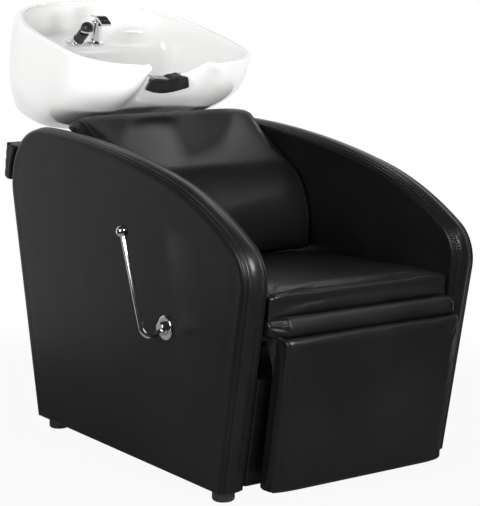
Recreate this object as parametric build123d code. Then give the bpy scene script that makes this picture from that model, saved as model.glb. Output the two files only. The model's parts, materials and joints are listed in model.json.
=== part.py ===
from build123d import *
import math
import os

# A salon chair for washing hair: padded side panels, seat and back, a leg rest
# that a side lever swings up, and a ceramic basin that tilts behind the back.
# X runs across the chair, Y from the leg rest to the basin, Z up from the floor.
# Pieces are drawn about the chair's middle plane and moved to the origin last.

os.makedirs("parts", exist_ok=True)

# Clearances shared by the whole chair
touch_gap = 0.3
fit_gap = 0.05
cut_overrun = 5
cushion_power = 10

# Where the middle of the base's outline lies from the panels' middle
origin_x = 39.5
origin_y = 149.21

# Side panels
chair_width = 660
panel_thickness = 66
panel_bottom = 26
elbow_y = -508.1
elbow_drop = 2.1
front_lean = 11.3
elbow_radius = 101
elbow_turn = 68.5
arm_radius = 877
arm_turn = 20
top_radius = 2670
rear_radius = 152
rear_lean = 11.6
cover_pad = 12
skin_pad = 8
band_crown = 5
band_round = 3
band_shoulder = 9
band_shoulder_rise = 1

# Feet
foot_radius = 26
foot_round = 7
front_foot_setback = 36
rear_foot_setback = 61
foot_screw_radius = 3
foot_screw_length = 44
foot_screw_head_radius = 6
foot_screw_head = 4
foot_pocket = 8

# Boards and rails between the panels
kick_drop = 108
kick_bottom = 31
kick_thickness = 20
kick_recess = 3
rail_depth = 25
rail_height = 80
rail_bottom = 40
rail_setback = 38
beam_depth = 50
beam_height = 96
beam_top_y = 556
beam_rise = 238
beam_lean = 10.7
beam_cover = 5

# Seat
batten_width = 22
batten_height = 38
batten_front = -400
batten_rear = 40
seat_board_thickness = 18
seat_board_front = -487
seat_board_rear = 95
seat_front_height = 489
seat_pad_height = 72.7
seat_fall = 34
seat_foot_overhang = 10
seat_nose_overhang = 25
seat_rear = 108
seat_side_gap = 4
seat_front_round = 16
seat_crown = 7
seat_draw = 7

# Front roll, which is also the hub of the leg rest's hinge
roll_radius = 24
roll_half_width = 232.5
roll_core_height = 6
roll_core_depth = 16
roll_tail_drop = 6

# Back
back_front_y = 24
back_lift = 11
back_upright = 74
back_radius = 180
back_turn = 59
back_slope_length = 203
back_thickness = 75
back_roll_radius = 85
back_board_thickness = 12
back_side_gap = 3
back_draw = 9
back_board_setback = 14
back_batten_width = 24
back_batten_thickness = 22
back_batten_rise = 20

# Leg rest
hinge_overhang = 35
hinge_rise = 14
leg_lean = 9.7
leg_setback = 7
leg_top_drop = 10
leg_floor_gap = 32.4
leg_thickness = 48
leg_crown = 5
leg_half_width = 250
leg_round = 15
leg_bottom_round = 10
leg_side_draw = 5
leg_board_half_width = 236
leg_board_thickness = 14
leg_board_top_drop = 17
leg_board_bottom_rise = 12
leg_relief_gap = 1.5
buffer_radius = 10
buffer_rise = 45
buffer_x = 150

# Hinge plates, brackets and the parallel drive
hinge_plate_inner = 233.5
hinge_plate_thickness = 4
hinge_plate_eye = 13
hinge_plate_rear = -400
hinge_plate_height = 17
hinge_flange_width = 20
hinge_pin_radius = 5
bracket_inner = 239.5
bracket_thickness = 4
bracket_eye = 11.5
bracket_leg = 150
bracket_flange = 28
bracket_margin = 10
bracket_screw_radius = 2.5
bracket_screw_length = 11
bracket_screw_head_radius = 4.5
bracket_screw_head = 2
bracket_screw_first = 50
bracket_screw_pitch = 40
bracket_screw_inset = 14
crank_length = 60
crank_angle = -50
crank_inner = 220.5
crank_thickness = 5
crank_hub_radius = 16
crank_eye = 10
link_inner = 226.5
link_thickness = 5
link_eye = 9
link_waist = 7
drive_pin_radius = 4.5

# Lever
lever_y = -196
lever_drop = 30
shaft_radius = 9
shaft_right_end = 300
bush_radius = 13
escutcheon_radius = 29
escutcheon_height = 5
escutcheon_round = 3
hub_radius = 15.5
hub_gap = 1.2
hub_reach = 17
rod_radius = 6
rod_knee_reach = 62
rod_knee_forward = 5
rod_knee_drop = 28
rod_knee_radius = 22
ball_reach = 65
ball_back = 82
ball_rise = 219
ball_radius = 14

# Basin, drawn flat in its own frame: the ears of the neck notch at y = 0,
# the rim at z = 0 and the floor below it
basin_foot_forward = 279.6
basin_foot_drop = 38.7
basin_tilt = 14
basin_half_width = 271
basin_length = 616
basin_depth = 258
basin_wall = 14
basin_floor = 28
outline_count = 40
front_power = 3.4
# Levels of the bowl's outside as shares of its depth, half width and length:
# depth, half width, front, rear, widest place, and the power of the rear curve
bowl_shares = [
    (0, 1, 0, 1, 0.385, 2.25),
    (0.055, 1.004, 0.002, 1.02, 0.39, 2.7),
    (0.19, 1.004, 0.01, 1.026, 0.4, 2.8),
    (0.35, 1.004, 0.045, 1.026, 0.42, 2.8),
    (0.5, 1, 0.11, 1.023, 0.45, 2.75),
    (0.64, 0.989, 0.192, 1.011, 0.495, 2.7),
    (0.775, 0.952, 0.28, 0.99, 0.55, 2.6),
    (0.9, 0.893, 0.37, 0.961, 0.61, 2.5),
    (1, 0.819, 0.446, 0.929, 0.65, 2.5),
]
# depth, half width, back and reach of the hollow below the neck notch
throat_shares = [
    (-0.04, 0.345, 0.105, 0.12),
    (0.15, 0.37, 0.15, 0.135),
    (0.3, 0.43, 0.155, 0.13),
    (0.43, 0.51, 0.172, 0.12),
    (0.615, 0.57, 0.245, 0.11),
    (1.04, 0.6, 0.5, 0.08),
]
notch_half_width = 94
notch_side_inset = 15
notch_side_share = 0.45
notch_depth_share = 0.271
notch_length = 150
deck_length = 144
deck_ramp = 34
deck_drop_share = 0.357
deck_thickness = 16
deck_cavity_half_width = 110
deck_cavity_reach = 130
deck_rear_wall = 68

# Neck rest
neck_thickness = 8
neck_rear_overhang = 2
neck_drape = 24
neck_half_width = 62
neck_skirt_top = 40
neck_skirt_half_width = 78
neck_skirt_bottom = 106

# Waste fitting
waste_y = 390
waste_hole_radius = 26.3
waste_flange_radius = 37
waste_flange = 3
waste_tube_radius = 26
waste_tube_length = 74
waste_nut_radius = 42
waste_nut = 9
tail_radius = 20
tail_wall = 3
tail_insert = 40
tail_step = 0.4
tail_reach = 60
strainer_rim_radius = 25
strainer_rim = 1.5
strainer_cup_radius = 19.6
strainer_wall = 1.2
strainer_cup = 20
strainer_hole_radius = 2.4
strainer_hole_circle = 11
strainer_hole_count = 8

# Basin cradle, tilt pin and bracket
tilt_axis_height = 17.5
tilt_axis_setback = 16
tilt_pin_radius = 6
tilt_pin_end = 7
tilt_nut = 5
cradle_thickness = 5
cradle_front = 290
cradle_rear = 480
cradle_hole_radius = 48
cradle_ear_inner = 105
ear_thickness = 5
ear_radius = 11.5
ear_root = 26
cradle_bolt_x = 95
cradle_bolt_front = 331
cradle_bolt_rear = 462
bolt_radius = 4
bolt_bite = 14
bolt_head_radius = 7
bolt_head = 5
bracket_plate = 5
bracket_plate_half_depth = 21
bracket_bolt_inner = 40
bracket_bolt_outer = 85
bracket_bolt_bite = 40

# Mixer and hand spray on the tap deck
tap_x = 31
tap_setback = 102
tap_flange_radius = 27
tap_flange = 7
tap_flange_round = 3
mixer_radius = 15
mixer_height = 49
tap_shank_radius = 14
spray_shank_radius = 10
tap_shank_length = 46
tap_nut_radius = 21
tap_nut = 8
inlet_radius = 5
inlet_spread = 7
inlet_length = 60
cap_radius = 16
cap_height = 16
cap_gap = 0.4
cap_slot_width = 9
cap_slot_length = 25
cap_slot_depth = 11.5
cap_pin_radius = 2
cap_pin_height = 9.5
lever_barrel_radius = 4.5
lever_neck = 7
paddle_rear = 15
paddle_front = 50
paddle_half_width = 15
paddle_thickness = 5
paddle_rise = 7
paddle_drop = 9
spray_lean = 42
collar_radius = 16
collar_length = 24
stem_radius = 11
stem_length = 12
handset_radius = 14.5
handset_length = 55
head_radius = 17.5
rose_radius = 16
rose_height = 9
rose_lip = 2
rose_hole_radius = 1
rose_hole_circle = 9
rose_hole_count = 10

# Derived places
half_width = chair_width / 2
inner_half = half_width - panel_thickness
panel_middle = half_width - panel_thickness / 2
fitted_half = inner_half - touch_gap
elbow_z = seat_front_height - elbow_drop
front_edge = (elbow_z - panel_bottom) / math.cos(math.radians(front_lean))
front_foot_y = elbow_y + front_edge * math.sin(math.radians(front_lean))
seat_bottom = seat_front_height - seat_pad_height
seat_rear_height = seat_front_height - seat_fall
seat_board_top = seat_bottom - touch_gap
seat_board_bottom = seat_board_top - seat_board_thickness
seat_front_bottom = seat_board_front - seat_foot_overhang
seat_front_top = seat_board_front - seat_nose_overhang
kick_top = seat_board_bottom - kick_drop
roll_tail_bottom = seat_board_bottom - roll_tail_drop
back_bottom = seat_rear_height + back_lift
back_knee = back_bottom + back_upright
hinge_y = seat_board_front - hinge_overhang
hinge_z = seat_board_bottom + hinge_rise
leg_top_back_y = hinge_y + leg_setback
leg_top_back_z = hinge_z - leg_top_drop
leg_height = (leg_top_back_z - leg_floor_gap) / math.cos(math.radians(leg_lean))
buffer_drop = leg_height - buffer_rise
lever_z = seat_board_bottom - lever_drop
beam_top_z = seat_front_height + beam_rise
deck_front = basin_length - deck_length
deck_cavity_front = basin_length - deck_cavity_reach
deck_cavity_rear = basin_length - deck_rear_wall
tap_y = basin_length - tap_setback
notch_depth = basin_depth * notch_depth_share
deck_drop = basin_depth * deck_drop_share
basin_lean = math.radians(basin_tilt)
basin_y = beam_top_y - basin_foot_forward - basin_depth * math.sin(basin_lean)
basin_z = beam_top_z - basin_foot_drop + basin_depth * math.cos(basin_lean)
sides = (("left", -1), ("right", 1))

basin_plane = Plane(
    origin=(0, basin_y, basin_z),
    x_dir=(1, 0, 0),
    z_dir=(0, -math.sin(basin_lean), math.cos(basin_lean)),
)
beam_plane = Plane(
    origin=(0, beam_top_y, beam_top_z),
    x_dir=(1, 0, 0),
    z_dir=(0, -math.sin(math.radians(beam_lean)), math.cos(math.radians(beam_lean))),
)
leg_plane = Plane(
    origin=(0, leg_top_back_y, leg_top_back_z),
    x_dir=(1, 0, 0),
    z_dir=(0, -math.sin(math.radians(leg_lean)), math.cos(math.radians(leg_lean))),
)
tilt_axis = beam_plane.from_local_coords((0, tilt_axis_setback, tilt_axis_height))
tilt_local = basin_plane.to_local_coords(tilt_axis)
hinge_local = leg_plane.to_local_coords(Vector(0, hinge_y, hinge_z))
crank_y = crank_length * math.cos(math.radians(crank_angle))
crank_z = crank_length * math.sin(math.radians(crank_angle))
drive_local = leg_plane.to_local_coords(Vector(0, hinge_y + crank_y, hinge_z + crank_z))
origin_shift = Pos(origin_x, -origin_y, 0)


def save(name, *solids):
    """Moves a piece to the origin and writes its file."""
    moved = [origin_shift * solid for solid in solids]
    export_step(Compound(children=moved) if len(moved) > 1 else moved[0], f"parts/{name}.step")


def block(x0, x1, y0, y1, z0, z1):
    """A box between two corners."""
    middle = Pos((x0 + x1) / 2, (y0 + y1) / 2, (z0 + z1) / 2)
    return middle * Box(abs(x1 - x0), abs(y1 - y0), abs(z1 - z0))


def slab(face, x0, x1):
    """A flat outline in Y and Z, made solid between two places across the chair."""
    return extrude(Plane.YZ.offset(min(x0, x1)) * face, amount=abs(x1 - x0))


def across(radius, x0, x1, y, z):
    """A round bar that lies across the chair."""
    bar = Cylinder(radius, abs(x1 - x0), align=(Align.CENTER, Align.CENTER, Align.MIN))
    return Pos(min(x0, x1), y, z) * Rot(0, 90, 0) * bar


def upright(radius, x, y, z0, z1):
    """A round bar that stands between two heights."""
    bar = Cylinder(radius, z1 - z0, align=(Align.CENTER, Align.CENTER, Align.MIN))
    return Pos(x, y, z0) * bar


def in_plane(plane, shape):
    """Places a shape that was drawn in a tilted frame."""
    return plane.location * shape


def polygon(*points):
    """A closed outline through the points."""
    return make_face(Polyline(*points, close=True))


def cushion(outline, half, draw):
    """A pad across the chair whose outline draws in towards both sides."""
    shares = (-1, -0.93, -0.8, -0.5, 0, 0.5, 0.8, 0.93, 1)
    levels = [Plane.YZ.offset(half * share) * outline(draw * abs(share) ** cushion_power) for share in shares]
    return loft(levels)


def side_face(grow):
    """Outline of a side panel in Y and Z, grown or shrunk all round but at the floor."""
    lean = math.radians(front_lean)
    foot = Vector(front_foot_y - grow / math.cos(lean), panel_bottom)
    length = front_edge - grow * math.tan(lean)
    elbow_start = foot + Vector(-math.sin(lean), math.cos(lean)) * length
    front = Line(foot, elbow_start)
    elbow = JernArc(front @ 1, front % 1, elbow_radius + grow, -elbow_turn)
    arm = JernArc(elbow @ 1, elbow % 1, arm_radius + grow, -arm_turn)
    last_turn = 90 + front_lean - elbow_turn - arm_turn
    top = JernArc(arm @ 1, arm % 1, top_radius + grow, -last_turn)
    heel = JernArc(top @ 1, top % 1, rear_radius + grow, -(90 + rear_lean))
    corner = heel @ 1
    run = (corner.Y - panel_bottom) * math.tan(math.radians(rear_lean))
    rear_foot = Vector(corner.X - run, panel_bottom)
    rear = Line(corner, rear_foot)
    floor = Line(rear_foot, foot)
    return make_face([front, elbow, arm, top, heel, rear, floor])


def rear_foot_y():
    """Where the back edge of a side panel meets its underside."""
    box = side_face(0).edges().sort_by(Axis.Y)[0]
    return max(box.position_at(0).X, box.position_at(1).X)


def panel_front(z):
    """The front edge of the side panels at a height."""
    return front_foot_y - (z - panel_bottom) * math.tan(math.radians(front_lean))


def side_body():
    """A right-hand panel with its rounded, crowned band."""
    levels = [
        (inner_half, -band_round),
        (inner_half + band_shoulder, band_shoulder_rise),
        (panel_middle, band_crown),
        (half_width - band_shoulder, band_shoulder_rise),
        (half_width, -band_round),
    ]
    return loft([Plane.YZ.offset(x) * side_face(grow) for x, grow in levels])


def side_core_body():
    """The timber inside a right-hand panel, open at the floor for the feet."""
    return slab(side_face(-cover_pad), inner_half + skin_pad, half_width - skin_pad)


def shaft_hole(radius, sign):
    """The bore for the lever shaft: right through on the left, blind on the right."""
    if sign < 0:
        return across(radius, -half_width - cut_overrun, -inner_half + cut_overrun, lever_y, lever_z)
    return across(radius, inner_half - cut_overrun, shaft_right_end + touch_gap, lever_y, lever_z)


def make_sides():
    """The two side panels: timber cores in padded covers."""
    body = side_body()
    core = side_core_body()
    for side, sign in sides:
        hole = shaft_hole(bush_radius + fit_gap, sign)
        one_core = core if sign > 0 else mirror(core, Plane.YZ)
        one_body = body if sign > 0 else mirror(body, Plane.YZ)
        one_core = one_core - hole
        screws = [
            upright(foot_screw_radius, sign * panel_middle, y, 0, foot_screw_length)
            for y in (front_foot_y + front_foot_setback, rear_foot_y() - rear_foot_setback)
        ]
        save(f"{side}_side_core", one_core - screws)
        save(f"{side}_side_cover", one_body - one_core - hole)


def make_feet():
    """Four round feet and the screws that hold them to the cores."""
    places = (
        ("front", front_foot_y + front_foot_setback),
        ("rear", rear_foot_y() - rear_foot_setback),
    )
    screws = []
    for end, y in places:
        for side, sign in sides:
            x = sign * panel_middle
            foot = upright(foot_radius, x, y, 0, panel_bottom)
            foot = fillet(foot.edges().sort_by(Axis.Z)[0], foot_round)
            foot -= upright(foot_screw_head_radius + touch_gap, x, y, 0, foot_pocket)
            foot -= upright(foot_screw_radius, x, y, 0, panel_bottom)
            save(f"foot_{end}_{side}", foot)
            shank = upright(foot_screw_radius, x, y, foot_pocket, foot_screw_length)
            head = upright(foot_screw_head_radius, x, y, foot_pocket - foot_screw_head, foot_pocket)
            screws.append(shank + head)
    save("foot_screws", *screws)


def make_rails():
    """The boards and rails that tie the two panels together."""
    front_low = panel_front(kick_bottom) + kick_recess
    front_high = panel_front(kick_top) + kick_recess
    kick = polygon(
        (front_low, kick_bottom),
        (front_high, kick_top),
        (front_high + kick_thickness, kick_top),
        (front_low + kick_thickness, kick_bottom),
    )
    save("kick_panel", slab(kick, -fitted_half, fitted_half))
    rail_rear = rear_foot_y() - rail_setback
    rail = block(
        -fitted_half, fitted_half, rail_rear - rail_depth, rail_rear, rail_bottom, rail_bottom + rail_height
    )
    save("lower_rear_rail", rail)


def beam_block(inset, half_length):
    """The box of the rear beam in its own leaning frame."""
    half_depth = beam_depth / 2
    return in_plane(
        beam_plane,
        block(-half_length, half_length, -half_depth + inset, half_depth - inset, -beam_height + inset, -inset),
    )


def make_beam():
    """The beam behind the panels that carries the basin, and its leather cover."""
    near_panels = side_face(band_crown + touch_gap)
    beam = beam_block(0, half_width)
    core = beam_block(beam_cover, half_width - beam_cover)
    keep_off = side_face(band_crown + touch_gap + beam_cover)
    for side, sign in sides:
        start = sign * fitted_half
        end = sign * (half_width + cut_overrun)
        beam -= slab(near_panels, start, end)
        core -= slab(keep_off, start - sign * beam_cover, end)
    holes = bracket_bolt_shanks(bolt_radius)
    save("rear_beam", core - holes)
    save("rear_beam_cover", beam - core - holes)


def bracket_bolt_shanks(radius):
    """The shanks of the four bolts that hold the basin bracket to the beam."""
    return [
        in_plane(beam_plane, upright(radius, x, 0, -bracket_bolt_bite, bracket_plate))
        for x in (-bracket_bolt_outer, -bracket_bolt_inner, bracket_bolt_inner, bracket_bolt_outer)
    ]


def seat_face(drop):
    """Side outline of the seat cushion, its top lowered by the drop near the sides."""
    top_front = seat_front_height - drop
    top_rear = seat_rear_height - drop
    back_low = (seat_rear - drop, seat_bottom)
    front_low = (seat_front_bottom + drop, seat_bottom)
    front_high = (seat_front_top + drop, top_front - seat_front_round)
    lip = (seat_front_top + drop + seat_front_round, top_front)
    back_high = (seat_rear - drop, top_rear)
    middle = ((lip[0] + back_high[0]) / 2, (lip[1] + back_high[1]) / 2 + seat_crown)
    bulge = seat_front_round * (1 - math.sqrt(2) / 2)
    nose = (seat_front_top + drop + bulge, top_front - bulge)
    return make_face(
        [
            Line(back_low, front_low),
            Line(front_low, front_high),
            ThreePointArc(front_high, nose, lip),
            ThreePointArc(lip, middle, back_high),
            Line(back_high, back_low),
        ]
    )


def make_seat():
    """The seat board on its battens, and the cushion on the board."""
    bush = across(bush_radius + fit_gap, -half_width, half_width, lever_y, lever_z)
    battens = []
    for _, sign in sides:
        batten = block(
            sign * fitted_half,
            sign * (fitted_half - batten_width),
            batten_front,
            batten_rear,
            seat_board_bottom - batten_height,
            seat_board_bottom,
        )
        battens.append(batten - bush)
    save("seat_battens", *battens)
    board = block(-fitted_half, fitted_half, seat_board_front, seat_board_rear, seat_board_bottom, seat_board_top)
    save("seat_board", board)
    save("seat_cushion", cushion(seat_face, inner_half - seat_side_gap, seat_draw))


def make_front_roll():
    """The padded roll in front of the seat, over a timber core on the seat board."""
    circle = Pos(hinge_y, hinge_z) * Circle(roll_radius)
    roll = slab(circle, -roll_half_width, roll_half_width)
    tail = block(
        -roll_half_width, roll_half_width, hinge_y, seat_board_front, roll_tail_bottom, seat_board_top - touch_gap
    )
    roll = roll + tail - slab(seat_face(-2 * touch_gap), -half_width, half_width)
    roll -= block(
        -half_width, half_width, seat_board_front, hinge_y + half_width, 0, seat_front_height
    )
    core = block(
        -roll_half_width + roll_core_height,
        roll_half_width - roll_core_height,
        seat_board_front - roll_core_depth,
        seat_board_front,
        roll_tail_bottom + roll_core_height,
        seat_board_top - roll_core_height,
    )
    save("front_roll", roll - core)
    save("front_roll_core", core)


def back_run(front_offset, extra):
    """Points and arcs of a line parallel to the back's front face, from the bottom up."""
    start = Vector(back_front_y + front_offset, back_bottom)
    knee = Vector(back_front_y + front_offset, back_knee)
    rise = Line(start, knee)
    bend = JernArc(knee, (0, 1), back_radius - front_offset, -back_turn)
    end = (bend @ 1) + (bend % 1) * (back_slope_length + extra)
    slope = Line(bend @ 1, end)
    return rise, bend, slope


def back_pad_face(inset):
    """Side outline of the back pad: upright, bent back and rolled over at the top."""
    rise, bend, slope = back_run(inset, 0)
    roll_radius_here = back_roll_radius - inset
    reach = back_roll_radius - back_thickness
    roll_turn = math.degrees(math.acos(reach / roll_radius_here))
    roll = JernArc(slope @ 1, slope % 1, roll_radius_here, -roll_turn)
    end = roll @ 1
    back_rise, back_bend, _ = back_run(back_thickness, 0)
    return make_face(
        [
            rise,
            bend,
            slope,
            roll,
            Line(end, back_bend @ 1),
            back_bend,
            back_rise,
            Line(back_rise @ 0, rise @ 0),
        ]
    )


def back_board_face(front_offset, thickness, bottom_rise):
    """Side outline of a bent board behind the back pad."""
    rise, bend, slope = back_run(front_offset, back_roll_radius - back_board_setback)
    rear_rise, rear_bend, rear_slope = back_run(front_offset + thickness, back_roll_radius - back_board_setback)
    lower = Vector(0, bottom_rise)
    return make_face(
        [
            Line((rise @ 0) + lower, rise @ 1),
            bend,
            slope,
            Line(slope @ 1, rear_slope @ 1),
            rear_slope,
            rear_bend,
            Line(rear_rise @ 1, (rear_rise @ 0) + lower),
            Line((rear_rise @ 0) + lower, (rise @ 0) + lower),
        ]
    )


def make_back():
    """The back pad, its bent board and the battens that hold it to the panels."""
    save("backrest_pad", cushion(back_pad_face, inner_half - back_side_gap, back_draw))
    behind = back_thickness + touch_gap
    board = slab(back_board_face(behind, back_board_thickness, 0), -fitted_half, fitted_half)
    save("backrest_board", board)
    past_board = behind + back_board_thickness
    batten_face = back_board_face(past_board, back_batten_thickness, back_batten_rise)
    inside = slab(side_face(-cover_pad), -half_width, half_width)
    for side, sign in sides:
        batten = slab(batten_face, sign * fitted_half, sign * (fitted_half - back_batten_width))
        save(f"backrest_batten_{side}", batten & inside)


def leg_pad_face(inset):
    """Side outline of the leg rest's pad in its leaning frame, with a crowned front."""
    front = -leg_thickness
    top = Vector(0, -inset)
    top_start = Vector(front + leg_round, -inset)
    front_start = Vector(front + inset, -leg_round)
    front_end = Vector(front + inset, -leg_height + leg_bottom_round)
    low_start = Vector(front + leg_bottom_round, -leg_height + inset)
    low = Vector(0, -leg_height + inset)
    belly = Vector(front + inset - leg_crown, -leg_height / 2)
    arc_share = 1 - math.sqrt(2) / 2
    top_nose = Vector(front + inset + leg_round * arc_share, -inset - leg_round * arc_share)
    low_nose = Vector(front + inset + leg_bottom_round * arc_share, -leg_height + inset + leg_bottom_round * arc_share)
    return make_face(
        [
            Line(low, top),
            Line(top, top_start),
            ThreePointArc(top_start, top_nose, front_start),
            ThreePointArc(front_start, belly, front_end),
            ThreePointArc(front_end, low_nose, low_start),
            Line(low_start, low),
        ]
    )


def bracket_face():
    """Side outline of a leg rest bracket: hinge eye, drive eye and the leg on the board."""
    hinge = (hinge_local.Y, hinge_local.Z)
    drive = (drive_local.Y, drive_local.Z)
    web = polygon(
        (hinge[0] - bracket_eye, hinge[1]),
        (hinge[0] + bracket_eye, hinge[1]),
        (drive[0] + bracket_eye, drive[1]),
        (bracket_thickness, drive[1] - bracket_leg / 3),
        (-bracket_margin, drive[1] - bracket_leg / 3),
        (-bracket_margin, hinge[1] - 2 * bracket_eye),
    )
    leg = polygon(
        (-bracket_margin, hinge[1]),
        (bracket_thickness, hinge[1]),
        (bracket_thickness, -bracket_leg),
        (-bracket_margin, -bracket_leg),
    )
    eyes = Pos(*hinge) * Circle(bracket_eye) + Pos(*drive) * Circle(bracket_eye)
    return web + leg + eyes


def make_leg_rest():
    """The leg rest: board, padded cover, two steel brackets and their screws."""
    pad = cushion(leg_pad_face, leg_half_width, leg_side_draw)
    board = block(
        -leg_board_half_width,
        leg_board_half_width,
        -leg_board_thickness,
        0,
        -leg_height + leg_board_bottom_rise,
        -leg_board_top_drop,
    )
    bracket_outer = bracket_inner + bracket_thickness
    pocket_half = bracket_outer + touch_gap
    pocket_top = block(
        -pocket_half, pocket_half, -leg_board_thickness, cut_overrun, -bracket_leg - touch_gap, cut_overrun
    )
    pocket_low = block(
        -leg_board_half_width,
        leg_board_half_width,
        -leg_board_thickness,
        cut_overrun,
        -leg_height + leg_board_bottom_rise,
        -bracket_leg,
    )
    relief = slab(
        Pos(hinge_local.Y, hinge_local.Z) * Circle(roll_radius + leg_relief_gap), -pocket_half, pocket_half
    )
    pad = pad - pocket_top - pocket_low - relief
    screws = []
    screw_holes = []
    for side, sign in sides:
        plate = slab(bracket_face(), sign * bracket_inner, sign * bracket_outer)
        flange = block(
            sign * (bracket_outer - bracket_flange),
            sign * bracket_outer,
            0,
            bracket_thickness,
            -bracket_leg,
            -leg_board_top_drop,
        )
        bracket = plate + flange
        bracket -= slab(
            Pos(hinge_local.Y, hinge_local.Z) * Circle(hinge_pin_radius + fit_gap),
            -half_width,
            half_width,
        )
        pin = slab(
            Pos(drive_local.Y, drive_local.Z) * Circle(drive_pin_radius),
            sign * link_inner,
            sign * bracket_inner,
        )
        bracket += pin
        x = sign * (bracket_outer - bracket_flange + bracket_screw_inset / 2)
        for row in range(3):
            z = -bracket_screw_first - row * bracket_screw_pitch
            shank = Pos(x, bracket_thickness, z) * Rot(90, 0, 0) * Cylinder(
                bracket_screw_radius, bracket_screw_length, align=(Align.CENTER, Align.CENTER, Align.MIN)
            )
            head = Pos(x, bracket_thickness + bracket_screw_head, z) * Rot(90, 0, 0) * Cylinder(
                bracket_screw_head_radius, bracket_screw_head, align=(Align.CENTER, Align.CENTER, Align.MIN)
            )
            screw_holes.append(shank)
            screws.append(in_plane(leg_plane, shank + head))
        save(f"legrest_bracket_{side}", in_plane(leg_plane, bracket - screw_holes))
    save("legrest_screws", *screws)
    save("legrest_board", in_plane(leg_plane, board - screw_holes))
    save("legrest_pad", in_plane(leg_plane, pad))


def make_hinge_plates():
    """The fixed hinge plates under the seat board, and the two hinge pins."""
    outer = hinge_plate_inner + hinge_plate_thickness
    low = seat_board_bottom - hinge_plate_height
    ear = polygon(
        (hinge_y, hinge_z + hinge_plate_eye / 2),
        (seat_board_front, seat_board_bottom),
        (hinge_plate_rear, seat_board_bottom),
        (hinge_plate_rear, low),
        (seat_board_front, low),
        (hinge_y, hinge_z - hinge_plate_eye),
    )
    face = ear + Pos(hinge_y, hinge_z) * Circle(hinge_plate_eye)
    face -= Pos(hinge_y, hinge_z) * Circle(hinge_pin_radius)
    plates = []
    pins = []
    for _, sign in sides:
        plate = slab(face, sign * hinge_plate_inner, sign * outer)
        flange = block(
            sign * (hinge_plate_inner - hinge_flange_width),
            sign * outer,
            seat_board_front,
            hinge_plate_rear,
            seat_board_bottom - hinge_plate_thickness,
            seat_board_bottom,
        )
        plates.append(plate + flange)
        pin_end = bracket_inner + bracket_thickness
        pins.append(across(hinge_pin_radius, sign * hinge_plate_inner, sign * pin_end, hinge_y, hinge_z))
    save("hinge_plates", *plates)
    save("hinge_pins", *pins)


def make_buffers():
    """The rubber buffers on the kick panel that the leg rest hangs against."""
    buffers = []
    contact = leg_plane.from_local_coords((0, 0, -buffer_drop))
    lean = math.radians(leg_lean)
    front_of_kick = panel_front(contact.Z) + kick_recess
    length = (front_of_kick - contact.Y) * math.cos(lean) + buffer_radius
    keep = polygon(
        (panel_front(kick_bottom) + kick_recess - half_width, kick_bottom),
        (panel_front(kick_top) + kick_recess - half_width, kick_top),
        (panel_front(kick_top) + kick_recess, kick_top),
        (panel_front(kick_bottom) + kick_recess, kick_bottom),
    )
    for sign in (-1, 1):
        bar = Pos(sign * buffer_x, length, -buffer_drop) * Rot(90, 0, 0) * Cylinder(
            buffer_radius, length - touch_gap, align=(Align.CENTER, Align.CENTER, Align.MIN)
        )
        buffers.append(in_plane(leg_plane, bar) & slab(keep, -half_width, half_width))
    save("legrest_buffers", *buffers)


def crank_outline(eye):
    """Side outline of a crank from the shaft to its pin."""
    pin = (lever_y + crank_y, lever_z + crank_z)
    across_y = -crank_z / crank_length * eye
    across_z = crank_y / crank_length * eye
    arm = polygon(
        (lever_y - across_y, lever_z - across_z),
        (lever_y + across_y, lever_z + across_z),
        (pin[0] + across_y, pin[1] + across_z),
        (pin[0] - across_y, pin[1] - across_z),
    )
    hub = Pos(lever_y, lever_z) * Circle(crank_hub_radius) + Pos(*pin) * Circle(eye)
    return arm + hub


def make_drive():
    """The lever shaft with its cranks and bushes, and the two parallel links."""
    left_end = -(half_width + escutcheon_height + hub_gap)
    save("lever_shaft", across(shaft_radius, left_end, shaft_right_end, lever_y, lever_z))
    pin_y = lever_y + crank_y
    pin_z = lever_z + crank_z
    eye_y = hinge_y + crank_y
    eye_z = hinge_z + crank_z
    run = Vector(eye_y - pin_y, eye_z - pin_z)
    sideways = Vector(-run.Y, run.X).normalized() * link_waist
    bar = polygon(
        (pin_y + sideways.X, pin_z + sideways.Y),
        (eye_y + sideways.X, eye_z + sideways.Y),
        (eye_y - sideways.X, eye_z - sideways.Y),
        (pin_y - sideways.X, pin_z - sideways.Y),
    )
    ends = Pos(pin_y, pin_z) * Circle(link_eye) + Pos(eye_y, eye_z) * Circle(link_eye)
    holes = Pos(pin_y, pin_z) * Circle(drive_pin_radius + fit_gap)
    holes += Pos(eye_y, eye_z) * Circle(drive_pin_radius + fit_gap)
    link = bar + ends - holes
    bushes = []
    for side, sign in sides:
        crank = slab(crank_outline(crank_eye), sign * crank_inner, sign * (crank_inner + crank_thickness))
        crank -= across(shaft_radius, -half_width, half_width, lever_y, lever_z)
        pin_end = link_inner + link_thickness
        crank += across(drive_pin_radius, sign * crank_inner, sign * pin_end, pin_y, pin_z)
        save(f"crank_{side}", crank)
        save(f"drive_link_{side}", slab(link, sign * link_inner, sign * (link_inner + link_thickness)))
        outer_end = half_width if sign < 0 else shaft_right_end
        inner_end = fitted_half - batten_width
        bush = across(bush_radius, sign * inner_end, sign * outer_end, lever_y, lever_z)
        bush -= across(shaft_radius + fit_gap, -half_width, half_width, lever_y, lever_z)
        bushes.append(bush)
    save("shaft_bushes", *bushes)


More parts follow.
